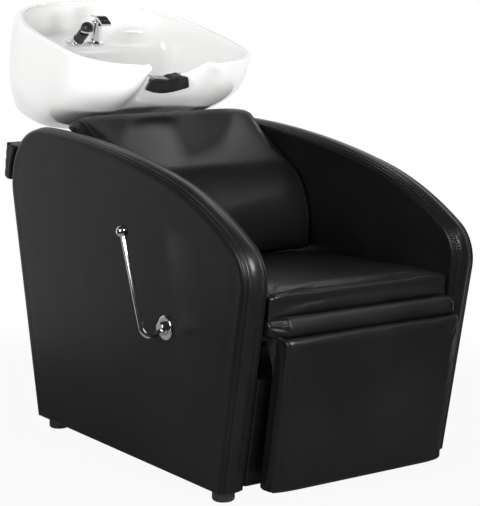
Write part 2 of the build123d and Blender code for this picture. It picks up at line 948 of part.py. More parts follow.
def make_lever():
    """The escutcheon, hub, bent rod and ball of the lever on the left panel."""
    face_x = -half_width
    plate = across(escutcheon_radius, face_x, face_x - escutcheon_height, lever_y, lever_z)
    plate = fillet(plate.edges().sort_by(Axis.X)[0], escutcheon_round)
    plate -= across(
        hub_radius + hub_gap, face_x + cut_overrun, face_x - escutcheon_height - cut_overrun, lever_y, lever_z
    )
    save("lever_escutcheon", plate)
    hub_start = face_x - hub_gap
    hub_end = hub_start - hub_reach
    hub = across(hub_radius, hub_start, hub_end, lever_y, lever_z)
    hub = fillet(hub.edges().sort_by(Axis.X)[0], escutcheon_round)
    hub -= across(shaft_radius, face_x, face_x - escutcheon_height - hub_gap, lever_y, lever_z)
    knee = Vector(-half_width - rod_knee_reach, lever_y - rod_knee_forward, lever_z - rod_knee_drop)
    ball_centre = Vector(-half_width - ball_reach, lever_y + ball_back, lever_z + ball_rise)
    start = Vector(face_x - escutcheon_height - hub_gap, lever_y, lever_z)
    path = FilletPolyline(start, knee, ball_centre, radius=rod_knee_radius)
    section = Plane(origin=path @ 0, z_dir=path % 0) * Circle(rod_radius)
    rod = sweep(section, path=path)
    rod -= across(shaft_radius, face_x, face_x - escutcheon_height - hub_gap, lever_y, lever_z)
    save("lever_rod", rod)
    save("lever_hub", hub - rod)
    save("lever_ball", Pos(*ball_centre) * Sphere(ball_radius) - rod)


def signed_power(value, power):
    """A power that keeps the sign of its base."""
    return math.copysign(abs(value) ** power, value)


def bowl_outline(depth, half, front, rear, widest, rear_power):
    """A smooth closed level of the bowl: square in front, rounder behind."""
    points = []
    for step in range(outline_count):
        angle = 2 * math.pi * step / outline_count
        power = front_power if math.sin(angle) < 0 else rear_power
        reach = widest - front if math.sin(angle) < 0 else rear - widest
        x = half * signed_power(math.cos(angle), 2 / power)
        y = widest + reach * signed_power(math.sin(angle), 2 / power)
        points.append(Vector(x, y, -depth))
    return make_face(Spline(*points, periodic=True))


def bowl_level(shares, wall, depth):
    """One level of the bowl's outside, or of its inside when a wall is given."""
    return bowl_outline(
        depth * shares[0],
        basin_half_width * shares[1] - wall,
        basin_length * shares[2] + wall,
        basin_length * shares[3] - wall,
        basin_length * shares[4],
        shares[5],
    )


def throat_body(grow):
    """The hollow in the front of the bowl below the neck notch."""
    levels = []
    for depth, half, back, reach in throat_shares:
        ellipse = Ellipse(basin_half_width * half + grow, basin_length * reach + grow)
        levels.append(Pos(0, basin_length * (back - reach), -basin_depth * depth) * ellipse)
    return loft(levels)


def along_basin(face, front, rear):
    """An upright outline across the basin, made solid between two places along it."""
    return extrude(Plane.XZ.offset(-rear) * face, amount=rear - front)


def notch_face(grow):
    """The outline of the trough that a neck lies in: sloping sides and a round floor."""
    half = notch_half_width + grow
    floor = notch_depth + grow
    side = half - notch_side_inset
    drop = floor * notch_side_share
    points = [(-half, 0), (-side, -drop), (0, -floor), (side, -drop), (half, 0)]
    bottom = Spline(*points, tangents=[(notch_side_inset, -drop), (notch_side_inset, drop)])
    lid = Polyline((half, 0), (half, floor), (-half, floor), (-half, 0))
    return make_face(bottom + lid)


def notch_body(grow):
    """The trough itself, cut through the front of the bowl."""
    return along_basin(notch_face(grow), -notch_length, notch_length)


def deck_body():
    """The step that carries the taps, with a leaning front."""
    face = polygon(
        (deck_front, -deck_drop),
        (deck_front - deck_ramp, -basin_depth),
        (basin_length, -basin_depth),
        (basin_length, -deck_drop),
    )
    return slab(face, -half_width, half_width)


def basin_bolt_places():
    """Where the cradle is bolted to the ceramic."""
    return [(x, y) for x in (-cradle_bolt_x, cradle_bolt_x) for y in (cradle_bolt_front, cradle_bolt_rear)]


def make_basin():
    """The ceramic bowl with its neck notch, tap deck and waste hole."""
    outside = loft([bowl_level(shares, 0, basin_depth) for shares in bowl_shares])
    hollow = [bowl_level(shares, basin_wall, basin_depth - basin_floor) for shares in bowl_shares]
    inside = loft([Pos(0, 0, cut_overrun) * hollow[0]] + hollow[1:])
    inside -= deck_body()
    inside -= throat_body(basin_wall)
    bowl = outside - throat_body(0) - inside - notch_body(0)
    bowl -= block(
        -deck_cavity_half_width,
        deck_cavity_half_width,
        deck_cavity_front,
        deck_cavity_rear,
        -basin_depth - cut_overrun,
        -deck_drop - deck_thickness,
    )
    bowl -= upright(waste_hole_radius, 0, waste_y, -basin_depth - cut_overrun, -deck_drop)
    bowl -= upright(tap_shank_radius + touch_gap, tap_x, tap_y, -basin_depth, 0)
    bowl -= upright(spray_shank_radius + touch_gap, -tap_x, tap_y, -basin_depth, 0)
    for x, y in basin_bolt_places():
        bowl -= upright(bolt_radius, x, y, -basin_depth - cut_overrun, -basin_depth + bolt_bite)
    save("basin", in_plane(basin_plane, bowl))
    return bowl


def neck_curve(front, rear):
    """The region the saddle keeps to: straight sides and a round lower edge."""
    curve = Pos(0, -neck_skirt_top) * Ellipse(neck_skirt_half_width, neck_skirt_bottom - neck_skirt_top)
    face = curve + Pos(0, -neck_skirt_top / 2) * Rectangle(2 * neck_skirt_half_width, neck_skirt_top)
    face &= Pos(0, -basin_depth / 2) * Rectangle(2 * neck_half_width, basin_depth)
    return along_basin(face, front, rear)


def make_neck_rest(bowl):
    """The soft saddle that lies over the lip of the notch and hangs down in front of it."""
    rear = basin_length * throat_shares[2][2] + basin_wall + neck_rear_overhang
    front = basin_length * throat_shares[2][2] - neck_drape
    lip = notch_body(-touch_gap) - notch_body(-neck_thickness)
    skirt = throat_body(-touch_gap) & neck_curve(front, rear)
    skirt -= Pos(0, -neck_thickness, 0) * throat_body(-touch_gap)
    skirt -= notch_body(-neck_thickness)
    lip &= neck_curve(front + neck_thickness, rear)
    save("neck_rest", in_plane(basin_plane, lip + skirt - bowl))


def make_waste():
    """The waste fitting: flange with its tube, strainer, nut and tail pipe."""
    floor = -(basin_depth - basin_floor)
    flange = upright(waste_flange_radius, 0, waste_y, floor, floor + waste_flange)
    flange += upright(waste_tube_radius, 0, waste_y, floor - waste_tube_length, floor)
    flange -= upright(tail_radius + fit_gap, 0, waste_y, floor - waste_tube_length, floor + waste_flange)
    save("waste_flange", in_plane(basin_plane, flange))
    underside = -basin_depth
    nut = upright(waste_nut_radius, 0, waste_y, underside - waste_nut, underside)
    nut -= upright(waste_tube_radius, 0, waste_y, underside - waste_nut, underside)
    save("waste_nut", in_plane(basin_plane, nut))
    tube_end = floor - waste_tube_length
    tail_top = tube_end + tail_insert
    tail = upright(tail_radius, 0, waste_y, tube_end - tail_reach, tube_end)
    tail += upright(tail_radius - tail_step, 0, waste_y, tube_end, tail_top)
    tail -= upright(tail_radius - tail_wall, 0, waste_y, tube_end - tail_reach, tail_top)
    save("waste_tail", in_plane(basin_plane, tail))
    rest = floor + waste_flange + touch_gap
    strainer = upright(strainer_rim_radius, 0, waste_y, rest, rest + strainer_rim)
    strainer += upright(strainer_cup_radius, 0, waste_y, rest - strainer_cup, rest)
    strainer -= upright(
        strainer_cup_radius - strainer_wall,
        0,
        waste_y,
        rest - strainer_cup + strainer_wall,
        rest + strainer_rim,
    )
    for step in range(strainer_hole_count):
        angle = 2 * math.pi * step / strainer_hole_count
        x = strainer_hole_circle * math.cos(angle)
        y = waste_y + strainer_hole_circle * math.sin(angle)
        strainer -= upright(strainer_hole_radius, x, y, rest - strainer_cup, rest)
    save("hair_strainer", in_plane(basin_plane, strainer))


def make_cradle():
    """The steel plate under the ceramic, with ears that turn on the tilt pin."""
    top = -basin_depth - touch_gap
    half = cradle_ear_inner + ear_thickness
    plate = block(-half, half, cradle_front, cradle_rear, top - cradle_thickness, top)
    plate -= upright(cradle_hole_radius, 0, waste_y, top - cradle_thickness, top)
    ear = polygon(
        (tilt_local.Y - ear_radius, tilt_local.Z),
        (cradle_front, top - cradle_thickness / 2),
        (cradle_front + ear_root, top - cradle_thickness / 2),
        (tilt_local.Y + ear_radius, tilt_local.Z),
    )
    ear += Pos(tilt_local.Y, tilt_local.Z) * Circle(ear_radius)
    ear -= Pos(tilt_local.Y, tilt_local.Z) * Circle(tilt_pin_radius + fit_gap)
    for sign in (-1, 1):
        plate += slab(ear, sign * cradle_ear_inner, sign * (cradle_ear_inner + ear_thickness))
    bolts = []
    for x, y in basin_bolt_places():
        under = top - cradle_thickness
        shank = upright(bolt_radius, x, y, under, -basin_depth + bolt_bite)
        plate -= shank
        bolts.append(in_plane(basin_plane, shank + upright(bolt_head_radius, x, y, under - bolt_head, under)))
    save("basin_cradle", in_plane(basin_plane, plate))
    save("cradle_bolts", *bolts)


def make_bracket():
    """The fixed bracket on the rear beam with the tilt pin through its ears."""
    inner = cradle_ear_inner + ear_thickness + touch_gap
    outer = inner + ear_thickness
    plate = in_plane(
        beam_plane,
        block(-outer, outer, -bracket_plate_half_depth, bracket_plate_half_depth, 0, bracket_plate),
    )
    root_front = beam_plane.from_local_coords((0, -bracket_plate_half_depth, bracket_plate / 2))
    root_rear = beam_plane.from_local_coords((0, bracket_plate_half_depth, bracket_plate / 2))
    ear = polygon(
        (tilt_axis.Y - ear_radius, tilt_axis.Z),
        (root_front.Y, root_front.Z),
        (root_rear.Y, root_rear.Z),
        (tilt_axis.Y + ear_radius, tilt_axis.Z),
    )
    ear += Pos(tilt_axis.Y, tilt_axis.Z) * Circle(ear_radius)
    ear -= Pos(tilt_axis.Y, tilt_axis.Z) * Circle(tilt_pin_radius)
    for sign in (-1, 1):
        plate += slab(ear, sign * inner, sign * outer)
    shanks = bracket_bolt_shanks(bolt_radius)
    save("basin_bracket", plate - shanks)
    bolts = []
    for shank, x in zip(shanks, (-bracket_bolt_outer, -bracket_bolt_inner, bracket_bolt_inner, bracket_bolt_outer)):
        head = in_plane(
            beam_plane, upright(bolt_head_radius, x, 0, bracket_plate, bracket_plate + bolt_head)
        )
        bolts.append(shank + head)
    save("bracket_bolts", *bolts)
    pin = across(tilt_pin_radius, -outer - tilt_pin_end, outer + tilt_pin_end, tilt_axis.Y, tilt_axis.Z)
    for sign in (-1, 1):
        nut = extrude(Plane.YZ * RegularPolygon(2 * tilt_pin_radius, 6), amount=tilt_nut)
        start = outer if sign > 0 else -outer - tilt_nut
        pin += Pos(start, tilt_axis.Y, tilt_axis.Z) * nut
    save("tilt_pin", pin)


def hexagon(radius, x, y, z0, z1):
    """A six-sided nut between two heights."""
    return Pos(x, y, z0) * extrude(RegularPolygon(radius, 6), amount=z1 - z0)


def make_mixer():
    """The single lever mixer: body, turning cap and paddle."""
    deck = -deck_drop
    flange = upright(tap_flange_radius, tap_x, tap_y, deck, deck + tap_flange)
    flange = fillet(flange.edges().sort_by(Axis.Z)[-1], tap_flange_round)
    body = flange + upright(mixer_radius, tap_x, tap_y, deck, deck + mixer_height)
    body += upright(tap_shank_radius, tap_x, tap_y, deck - tap_shank_length, deck)
    save("mixer_body", in_plane(basin_plane, body))
    base = deck + mixer_height + cap_gap
    top = base + cap_height
    cap = upright(cap_radius, tap_x, tap_y, base, top)
    cap = fillet(cap.edges().sort_by(Axis.Z)[-1], tap_flange_round)
    half_slot = cap_slot_width / 2
    slot = block(
        tap_x - half_slot,
        tap_x + half_slot,
        tap_y - cap_slot_length,
        tap_y + cap_slot_length / 2,
        top - cap_slot_depth,
        top + cut_overrun,
    )
    pin_z = base + cap_pin_height
    cap = cap - slot + across(cap_pin_radius, tap_x - half_slot, tap_x + half_slot, tap_y, pin_z)
    save("mixer_cap", in_plane(basin_plane, cap))
    half_barrel = half_slot - touch_gap
    low = top + paddle_rise
    high = low + paddle_thickness
    neck = polygon(
        (tap_y - lever_neck / 2, pin_z),
        (tap_y - lever_neck / 2, high),
        (tap_y + lever_neck / 2, high),
        (tap_y + lever_neck / 2, pin_z),
    )
    paddle = make_face(
        [
            Line((tap_y + paddle_rear, low), (tap_y + paddle_rear, high)),
            ThreePointArc(
                (tap_y + paddle_rear, high),
                (tap_y - paddle_front / 2, high + paddle_thickness / 2),
                (tap_y - paddle_front, high - paddle_drop),
            ),
            Line((tap_y - paddle_front, high - paddle_drop), (tap_y - paddle_front, low - paddle_drop)),
            ThreePointArc(
                (tap_y - paddle_front, low - paddle_drop),
                (tap_y - paddle_front / 2, low),
                (tap_y + paddle_rear, low),
            ),
        ]
    )
    lever = slab(paddle, tap_x - paddle_half_width, tap_x + paddle_half_width)
    stem = neck + Pos(tap_y, pin_z) * Circle(lever_barrel_radius)
    lever += slab(stem, tap_x - half_barrel, tap_x + half_barrel)
    lever -= across(cap_pin_radius + fit_gap, tap_x - half_slot, tap_x + half_slot, tap_y, pin_z)
    save("mixer_lever", in_plane(basin_plane, lever))


def make_spray():
    """The hand spray, leaning forward out of its socket."""
    deck = -deck_drop
    socket = upright(tap_flange_radius, -tap_x, tap_y, deck, deck + tap_flange)
    socket = fillet(socket.edges().sort_by(Axis.Z)[-1], tap_flange_round)
    spray_plane = Plane(
        origin=(-tap_x, tap_y, deck),
        x_dir=(1, 0, 0),
        z_dir=(0, -math.sin(math.radians(spray_lean)), math.cos(math.radians(spray_lean))),
    )
    collar = in_plane(spray_plane, upright(collar_radius, 0, 0, 0, collar_length))
    above = block(-half_width, half_width, 0, basin_length, deck, 0)
    socket += collar & above
    socket += upright(spray_shank_radius, -tap_x, tap_y, deck - tap_shank_length, deck)
    bore_start = collar_length - stem_length
    socket -= in_plane(spray_plane, upright(stem_radius + fit_gap, 0, 0, bore_start, collar_length + cut_overrun))
    save("spray_socket", in_plane(basin_plane, socket))
    handle_start = collar_length + touch_gap
    head_centre = handle_start + handset_length
    handset = in_plane(spray_plane, upright(stem_radius, 0, 0, bore_start + touch_gap, handle_start))
    handset += in_plane(spray_plane, upright(handset_radius, 0, 0, handle_start, head_centre))
    head_at = spray_plane.from_local_coords((0, 0, head_centre))
    handset += Pos(*head_at) * Sphere(head_radius)
    face_z = head_at.Z - rose_lip
    rose_x, rose_y = head_at.X, head_at.Y
    handset -= block(
        -half_width, half_width, rose_y - head_radius, rose_y + head_radius, face_z - head_radius, face_z
    ) & upright(rose_radius + touch_gap, rose_x, rose_y, face_z - head_radius, face_z)
    save("spray_handset", in_plane(basin_plane, handset))
    rose = upright(rose_radius, rose_x, rose_y, face_z - rose_height, face_z - fit_gap)
    rose -= in_plane(spray_plane, upright(handset_radius + touch_gap, 0, 0, handle_start, head_centre))
    for step in range(rose_hole_count):
        angle = 2 * math.pi * step / rose_hole_count
        x = rose_x + rose_hole_circle * math.cos(angle)
        y = rose_y + rose_hole_circle * math.sin(angle)
        rose -= upright(rose_hole_radius, x, y, face_z - rose_height, face_z - rose_height + rose_lip)
    save("spray_rose", in_plane(basin_plane, rose))


def make_tap_underside():
    """The two nuts below the tap deck and the two water tails of the mixer."""
    under = -deck_drop - deck_thickness
    nuts = []
    for x, radius in ((tap_x, tap_shank_radius), (-tap_x, spray_shank_radius)):
        nut = hexagon(tap_nut_radius, x, tap_y, under - tap_nut, under)
        nut -= upright(radius, x, tap_y, under - tap_nut, under)
        nuts.append(in_plane(basin_plane, nut))
    save("tap_nuts", *nuts)
    shank_end = -deck_drop - tap_shank_length
    tails = []
    for sign in (-1, 1):
        tail = upright(inlet_radius, tap_x + sign * inlet_spread, tap_y, shank_end - inlet_length, shank_end)
        tails.append(in_plane(basin_plane, tail))
    save("inlet_tails", *tails)


make_sides()
make_feet()
make_rails()
make_beam()
make_seat()
make_front_roll()
make_back()
make_leg_rest()
make_hinge_plates()
make_buffers()
make_drive()
make_lever()
make_neck_rest(make_basin())
make_waste()
make_cradle()
make_bracket()
make_mixer()
make_spray()
make_tap_underside()
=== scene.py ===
import json
import math

import bmesh
import bpy
import numpy as np
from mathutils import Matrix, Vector
from mathutils.bvhtree import BVHTree
from mathutils.kdtree import KDTree


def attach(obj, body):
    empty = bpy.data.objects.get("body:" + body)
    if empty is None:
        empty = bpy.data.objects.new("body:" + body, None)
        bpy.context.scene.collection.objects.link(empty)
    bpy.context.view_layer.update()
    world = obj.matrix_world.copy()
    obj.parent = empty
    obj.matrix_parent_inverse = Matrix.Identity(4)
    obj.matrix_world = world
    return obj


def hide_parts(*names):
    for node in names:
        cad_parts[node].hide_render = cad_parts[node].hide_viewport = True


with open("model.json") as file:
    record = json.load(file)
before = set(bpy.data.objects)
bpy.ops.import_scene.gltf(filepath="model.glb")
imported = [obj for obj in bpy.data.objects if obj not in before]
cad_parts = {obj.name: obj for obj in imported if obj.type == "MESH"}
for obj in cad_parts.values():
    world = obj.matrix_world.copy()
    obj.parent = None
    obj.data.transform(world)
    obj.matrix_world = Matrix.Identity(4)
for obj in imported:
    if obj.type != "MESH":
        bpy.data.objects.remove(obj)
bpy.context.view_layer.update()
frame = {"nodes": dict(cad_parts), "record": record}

# Pieces are drawn in millimetres about the chair's middle plane, X across, Y from
# the leg rest to the basin, Z up, and moved to the frame's origin in metres.
ORIGIN = np.array([39.5, -149.21, 0.0])

# Side panels
PANEL_HALF = 330.0
PANEL_THICK = 66.0
PANEL_BOTTOM = 26.0
ELBOW_Y = -508.1
ELBOW_Z = 486.9
FRONT_LEAN = 11.3
REAR_LEAN = 11.6
ELBOW_TURN = 68.5
ARM_TURN = 20.0
TOP_TURN = 90 + FRONT_LEAN - ELBOW_TURN - ARM_TURN
# Radius, turn in degrees and number of points of each arc, from the elbow to the back
PANEL_ARCS = (
    (101.0, ELBOW_TURN, 64),
    (877.0, ARM_TURN, 44),
    (2670.0, TOP_TURN, 44),
    (152.0, 101.6, 26),
)

# Tilted frames: where they start and how far they lean, in millimetres and degrees
BASIN_FRAME = ((0.0, 213.984, 938.636), 14.0)
LEG_FRAME = ((0.0, -515.0, 402.0), 9.7)

# Stitching
STITCH_PITCH = 4.6
STITCH_LENGTH = 3.3
THREAD_RADIUS = 0.55
STITCH_LIFT = 0.1

# Spacing of the points of short and long seams
SHORT_STEP = 1.5
LONG_STEP = 3.0

# Smoothing: how much further each outward step goes than the inward one before it
OUTWARD_SHARE = 1.04


# ---------------------------------------------------------------- finishes


class Number:
    """A shader socket that carries a number, with the arithmetic the finishes use."""

    def __init__(self, finish, socket):
        self.finish = finish
        self.socket = socket

    def maths(self, operation, *values):
        return self.finish.read(
            "ShaderNodeMath", {"operation": operation}, dict(enumerate(values)), "Value"
        )

    def __add__(self, other):
        return self.maths("ADD", self, other)

    __radd__ = __add__

    def __sub__(self, other):
        return self.maths("SUBTRACT", self, other)

    def __rsub__(self, other):
        return self.maths("SUBTRACT", other, self)

    def __mul__(self, other):
        return self.maths("MULTIPLY", self, other)

    def most(self, other):
        return self.maths("MAXIMUM", self, other)

    def wave(self):
        return self.maths("SINE", self)

    def between(self, low, high):
        """0 below low, 1 above high, and a smooth rise between."""
        return self.finish.read(
            "ShaderNodeMapRange",
            {"interpolation_type": "SMOOTHSTEP", "clamp": True},
            {"Value": self, "From Min": low, "From Max": high, "To Min": 0.0, "To Max": 1.0},
            "Result",
        )


class Finish:
    """The node tree of a material, or of the world."""

    def __init__(self, name, tree=None):
        self.material = None
        if tree is None:
            self.material = bpy.data.materials.new(name)
            self.material.use_nodes = True
            tree = self.material.node_tree
        self.tree = tree
        self.tree.nodes.clear()

    def node(self, kind, settings=None, inputs=None):
        """Adds a node, sets it, then gives its sockets their values or links."""
        made = self.tree.nodes.new(kind)
        for key, value in (settings or {}).items():
            setattr(made, key, value)
        for key, value in (inputs or {}).items():
            socket = made.inputs[key]
            if isinstance(value, Number):
                value = value.socket
            if isinstance(value, bpy.types.NodeSocket):
                self.tree.links.new(value, socket)
            else:
                socket.default_value = value
        return made

    def read(self, kind, settings, inputs, output):
        return Number(self, self.node(kind, settings, inputs).outputs[output])

    def place(self, stretch=(1.0, 1.0, 1.0)):
        """Object coordinates, stretched."""
        spot = self.node("ShaderNodeTexCoord").outputs["Object"]
        mapping = self.node("ShaderNodeMapping", None, {"Vector": spot, "Scale": stretch})
        return mapping.outputs["Vector"]

    def noise(self, where, scale, detail=3.0, roughness=0.55, distortion=0.0):
        inputs = {
            "Vector": where,
            "Scale": scale,
            "Detail": detail,
            "Roughness": roughness,
            "Distortion": distortion,
        }
        return self.read("ShaderNodeTexNoise", None, inputs, "Fac")

    def cells(self, where, scale):
        """Rounded pebbles, as the distance from their middles."""
        inputs = {"Vector": where, "Scale": scale}
        return self.read("ShaderNodeTexVoronoi", {"feature": "SMOOTH_F1"}, inputs, "Distance")

    def blend(self, share, first, second):
        """A colour between two others."""
        mix = self.node("ShaderNodeMix", {"data_type": "RGBA"}, {0: share, 6: first, 7: second})
        return mix.outputs[2]

    def bump(self, height, distance, strength=1.0, under=None):
        inputs = {"Height": height, "Distance": distance, "Strength": strength}
        if under is not None:
            inputs["Normal"] = under
        return self.node("ShaderNodeBump", None, inputs).outputs["Normal"]

    def surface(self, **sockets):
        """The closing shader, with its sockets named with underscores."""
        inputs = {key.replace("_", " "): value for key, value in sockets.items()}
        shader = self.node("ShaderNodeBsdfPrincipled", None, inputs)
        self.node("ShaderNodeOutputMaterial", None, {"Surface": shader.outputs["BSDF"]})
        return self.material


def grey(tone, warm=0.0):
    """A grey in linear light, a little redder where warm is above zero."""
    return (tone * (1 + warm), tone, tone * (1 - warm), 1.0)


def leather_finish():
    """Black grained leather: fine pebbles, a few larger creases and a satin polish."""
    f = Finish("black_leather")
    where = f.place()
    pebbles = f.cells(where, 520.0)
    pores = f.noise(where, 1500.0, 2.0)
    soft = f.noise(where, 9.0, 2.0, 0.5, 0.4)
    handled = f.noise(where, 4.0, 3.0, 0.6)
    worn = handled.between(0.35, 0.75)
    tone = f.blend(worn, grey(0.0042), grey(0.0065, 0.01))
    broad = f.bump(soft, 0.012, 0.05)
    grain = f.bump(pebbles * 0.8 + pores * 0.25, 0.0005, 0.3, broad)
    rough = worn * 0.05 + pebbles * 0.08 + 0.27
    return f.surface(
        Base_Color=tone, Roughness=rough, Normal=grain, IOR=1.45, Specular_IOR_Level=0.24
    )


def thread_finish():
    """Twisted black thread."""
    f = Finish("black_thread")
    where = f.place()
    twist = f.noise(where, 2600.0, 1.0)
    tone = f.blend(twist, grey(0.006), grey(0.014))
    normal = f.bump(twist, 0.0002, 0.6)
    return f.surface(Base_Color=tone, Roughness=0.55 + twist * 0.1, Normal=normal)


def ceramic_finish():
    """White glazed ceramic with a faint ripple in the glaze."""
    f = Finish("white_glaze")
    where = f.place()
    ripple = f.noise(where, 14.0, 2.0)
    specks = f.noise(where, 900.0, 1.0).between(0.74, 0.86)
    cloud = f.noise(where, 5.0, 2.0)
    tone = f.blend(cloud, (0.80, 0.80, 0.79, 1.0), (0.84, 0.84, 0.835, 1.0))
    tone = f.blend(specks * 0.25, tone, (0.62, 0.61, 0.58, 1.0))
    normal = f.bump(ripple, 0.0012, 0.25)
    return f.surface(
        Base_Color=tone,
        Roughness=0.06 + cloud * 0.05,
        Normal=normal,
        IOR=1.5,
        Coat_Weight=0.4,
        Coat_Roughness=0.03,
    )


def chrome_finish():
    """Polished chrome with faint wiping marks."""
    f = Finish("polished_chrome")
    where = f.place()
    wiped = f.noise(where, 60.0, 3.0, 0.6, 0.6)
    water = f.noise(where, 420.0, 2.0).between(0.6, 0.75)
    tone = f.blend(wiped, (0.80, 0.81, 0.82, 1.0), (0.88, 0.885, 0.89, 1.0))
    normal = f.bump(wiped, 0.0004, 0.2)
    return f.surface(
        Base_Color=tone,
        Metallic=1.0,
        Roughness=0.035 + wiped * 0.04 + water * 0.05,
        Normal=normal,
    )


def steel_finish():
    """Black lacquered steel, with a faint orange peel and scuffed patches."""
    f = Finish("lacquered_steel")
    where = f.place()
    peel = f.noise(where, 260.0, 2.0)
    patch = f.noise(where, 35.0, 3.0)
    tone = f.blend(patch.between(0.4, 0.7), grey(0.011), grey(0.022))
    normal = f.bump(peel, 0.0004, 0.3)
    return f.surface(
        Base_Color=tone, Roughness=0.3 + patch * 0.2, Normal=normal, Coat_Weight=0.3
    )


def timber_finish():
    """Plywood and sawn beech, stained black, with long fibres."""
    f = Finish("stained_timber")
    where = f.place((9.0, 9.0, 60.0))
    rings = f.noise(where, 1.2, 4.0, 0.6, 1.5)
    fibres = f.noise(f.place((30.0, 30.0, 900.0)), 1.0, 3.0)
    bands = (rings * 40.0).wave() * 0.5 + 0.5
    share = bands * 0.5 + fibres * 0.4
    tone = f.blend(share, (0.014, 0.012, 0.011, 1.0), (0.034, 0.029, 0.025, 1.0))
    normal = f.bump(fibres, 0.0006, 0.4)
    return f.surface(Base_Color=tone, Roughness=0.62 + fibres * 0.2, Normal=normal)


def plastic_finish():
    """Moulded black plastic with a fine spark-eroded texture."""
    f = Finish("moulded_plastic")
    where = f.place()
    pits = f.noise(where, 1400.0, 2.0)
    scuffs = f.noise(f.place((60.0, 60.0, 240.0)), 1.0, 4.0).between(0.55, 0.8)
    tone = f.blend(scuffs, grey(0.014), grey(0.032))
    normal = f.bump(pits, 0.0003, 0.4)
    return f.surface(Base_Color=tone, Roughness=0.36 + scuffs * 0.18 + pits * 0.06, Normal=normal)


def rubber_finish():
    """Matt black rubber."""
    f = Finish("matt_rubber")
    where = f.place()
    bloom = f.noise(where, 70.0, 3.0)
    tone = f.blend(bloom, grey(0.014), grey(0.03))
    normal = f.bump(f.noise(where, 900.0, 2.0), 0.0003, 0.5)
    return f.surface(Base_Color=tone, Roughness=0.62 + bloom * 0.2, Normal=normal)


def gel_finish():
    """The soft dark gel of the neck rest, glossy where it is smooth."""
    f = Finish("dark_gel")
    where = f.place()
    cloudy = f.noise(where, 22.0, 3.0)
    tone = f.blend(cloudy, (0.010, 0.010, 0.011, 1.0), (0.030, 0.030, 0.032, 1.0))
    normal = f.bump(f.noise(where, 45.0, 2.0), 0.0025, 0.35)
    return f.surface(
        Base_Color=tone, Roughness=0.16 + cloudy * 0.1, Normal=normal, IOR=1.45, Coat_Weight=0.5
    )


def make_finishes():
    return {
        "timber": timber_finish(),
        "upholstery": leather_finish(),
        "buffer_rubber": rubber_finish(),
        "black_plastic": plastic_finish(),
        "neck_rubber": gel_finish(),
        "chrome": chrome_finish(),
        "steel": steel_finish(),
        "ceramic": ceramic_finish(),
        "thread": thread_finish(),
    }


def paint(mesh, finish):
    """Makes a finish the only one of a mesh."""
    mesh.materials.clear()
    mesh.materials.append(finish)


def dress_frame(finishes):
    """Gives every carried-over solid the finish of its slot."""
    for row in frame["record"]["subparts"]:
        paint(frame["nodes"][row["node"]].data, finishes[row["material_slot"]])


# ---------------------------------------------------------------- shapes


def to_row(points):
    """Points in the chair's millimetres, in metres of the shared frame."""
    return (np.asarray(points, float) + ORIGIN) / 1000.0


def from_frame(tilted, points):
    """Points drawn in a tilted frame, in the chair's millimetres."""
    start, lean = tilted
    c, s = math.cos(math.radians(lean)), math.sin(math.radians(lean))
    p = np.atleast_2d(np.asarray(points, float))
    y = p[:, 1] * c - p[:, 2] * s
    z = p[:, 1] * s + p[:, 2] * c
    return np.column_stack([p[:, 0] + start[0], y + start[1], z + start[2]])


def new_piece(name, mesh, finish=None):
    obj = bpy.data.objects.new(name, mesh)
    bpy.context.scene.collection.objects.link(obj)
    if finish is not None:
        paint(mesh, finish)
    return obj


def mesh_of(name, points, faces, smooth=True):
    """A mesh from points in the chair's millimetres."""
    mesh = bpy.data.meshes.new(name)
    mesh.from_pydata([tuple(p) for p in to_row(points)], [], faces)
    mesh.validate()
    mesh.polygons.foreach_set("use_smooth", [smooth] * len(mesh.polygons))
    mesh.update()
    return mesh


def ring_faces(ring_count, count):
    faces = []
    for r in range(ring_count - 1):
        for i in range(count):
            j = (i + 1) % count
            faces.append((r * count + i, r * count + j, (r + 1) * count + j, (r + 1) * count + i))
    return faces


def skin_rings(name, rings, first=None, last=None):
    """Closed rings of points joined to a closed skin, with a point at each end."""
    count = len(rings[0])
    points = np.vstack(rings)
    faces = ring_faces(len(rings), count)
    if first is not None:
        points = np.vstack([points, first])
        tip = len(points) - 1
        faces += [(tip, (i + 1) % count, i) for i in range(count)]
    if last is not None:
        points = np.vstack([points, last])
        tip = len(points) - 1
        base = (len(rings) - 1) * count
        faces += [(tip, base + i, base + (i + 1) % count) for i in range(count)]
    mesh = mesh_of(name, points, faces)
    face_out(mesh)
    return mesh


def face_out(mesh):
    bm = bmesh.new()
    bm.from_mesh(mesh)
    bmesh.ops.remove_doubles(bm, verts=bm.verts, dist=1e-6)
    bmesh.ops.recalc_face_normals(bm, faces=bm.faces)
    bm.to_mesh(mesh)
    bm.free()
    mesh.update()


def points_of(mesh):
    co = np.zeros(len(mesh.vertices) * 3)
    mesh.vertices.foreach_get("co", co)
    return co.reshape(-1, 3)


def set_points(mesh, points):
    mesh.vertices.foreach_set("co", np.ascontiguousarray(points, float).ravel())
    mesh.update()


def normals_of(mesh):
    flat = np.zeros(len(mesh.vertices) * 3)
    mesh.vertices.foreach_get("normal", flat)
    return flat.reshape(-1, 3)


def settled(obj):
    """The object's mesh with its modifiers applied."""
    graph = bpy.context.evaluated_depsgraph_get()
    mesh = bpy.data.meshes.new_from_object(obj.evaluated_get(graph))
    old = obj.data
    obj.modifiers.clear()
    obj.data = mesh
    if old.users == 0:
        bpy.data.meshes.remove(old)
    return mesh


def bump_at(value, middle, width):
    """A smooth rise to 1 where a value is near the middle."""
    return np.exp(-(((value - middle) / width) ** 2))


def ramp(value, start, run):
    """0 up to the start, 1 after the run, and a straight rise between."""
    return np.clip((value - start) / run, 0, 1)


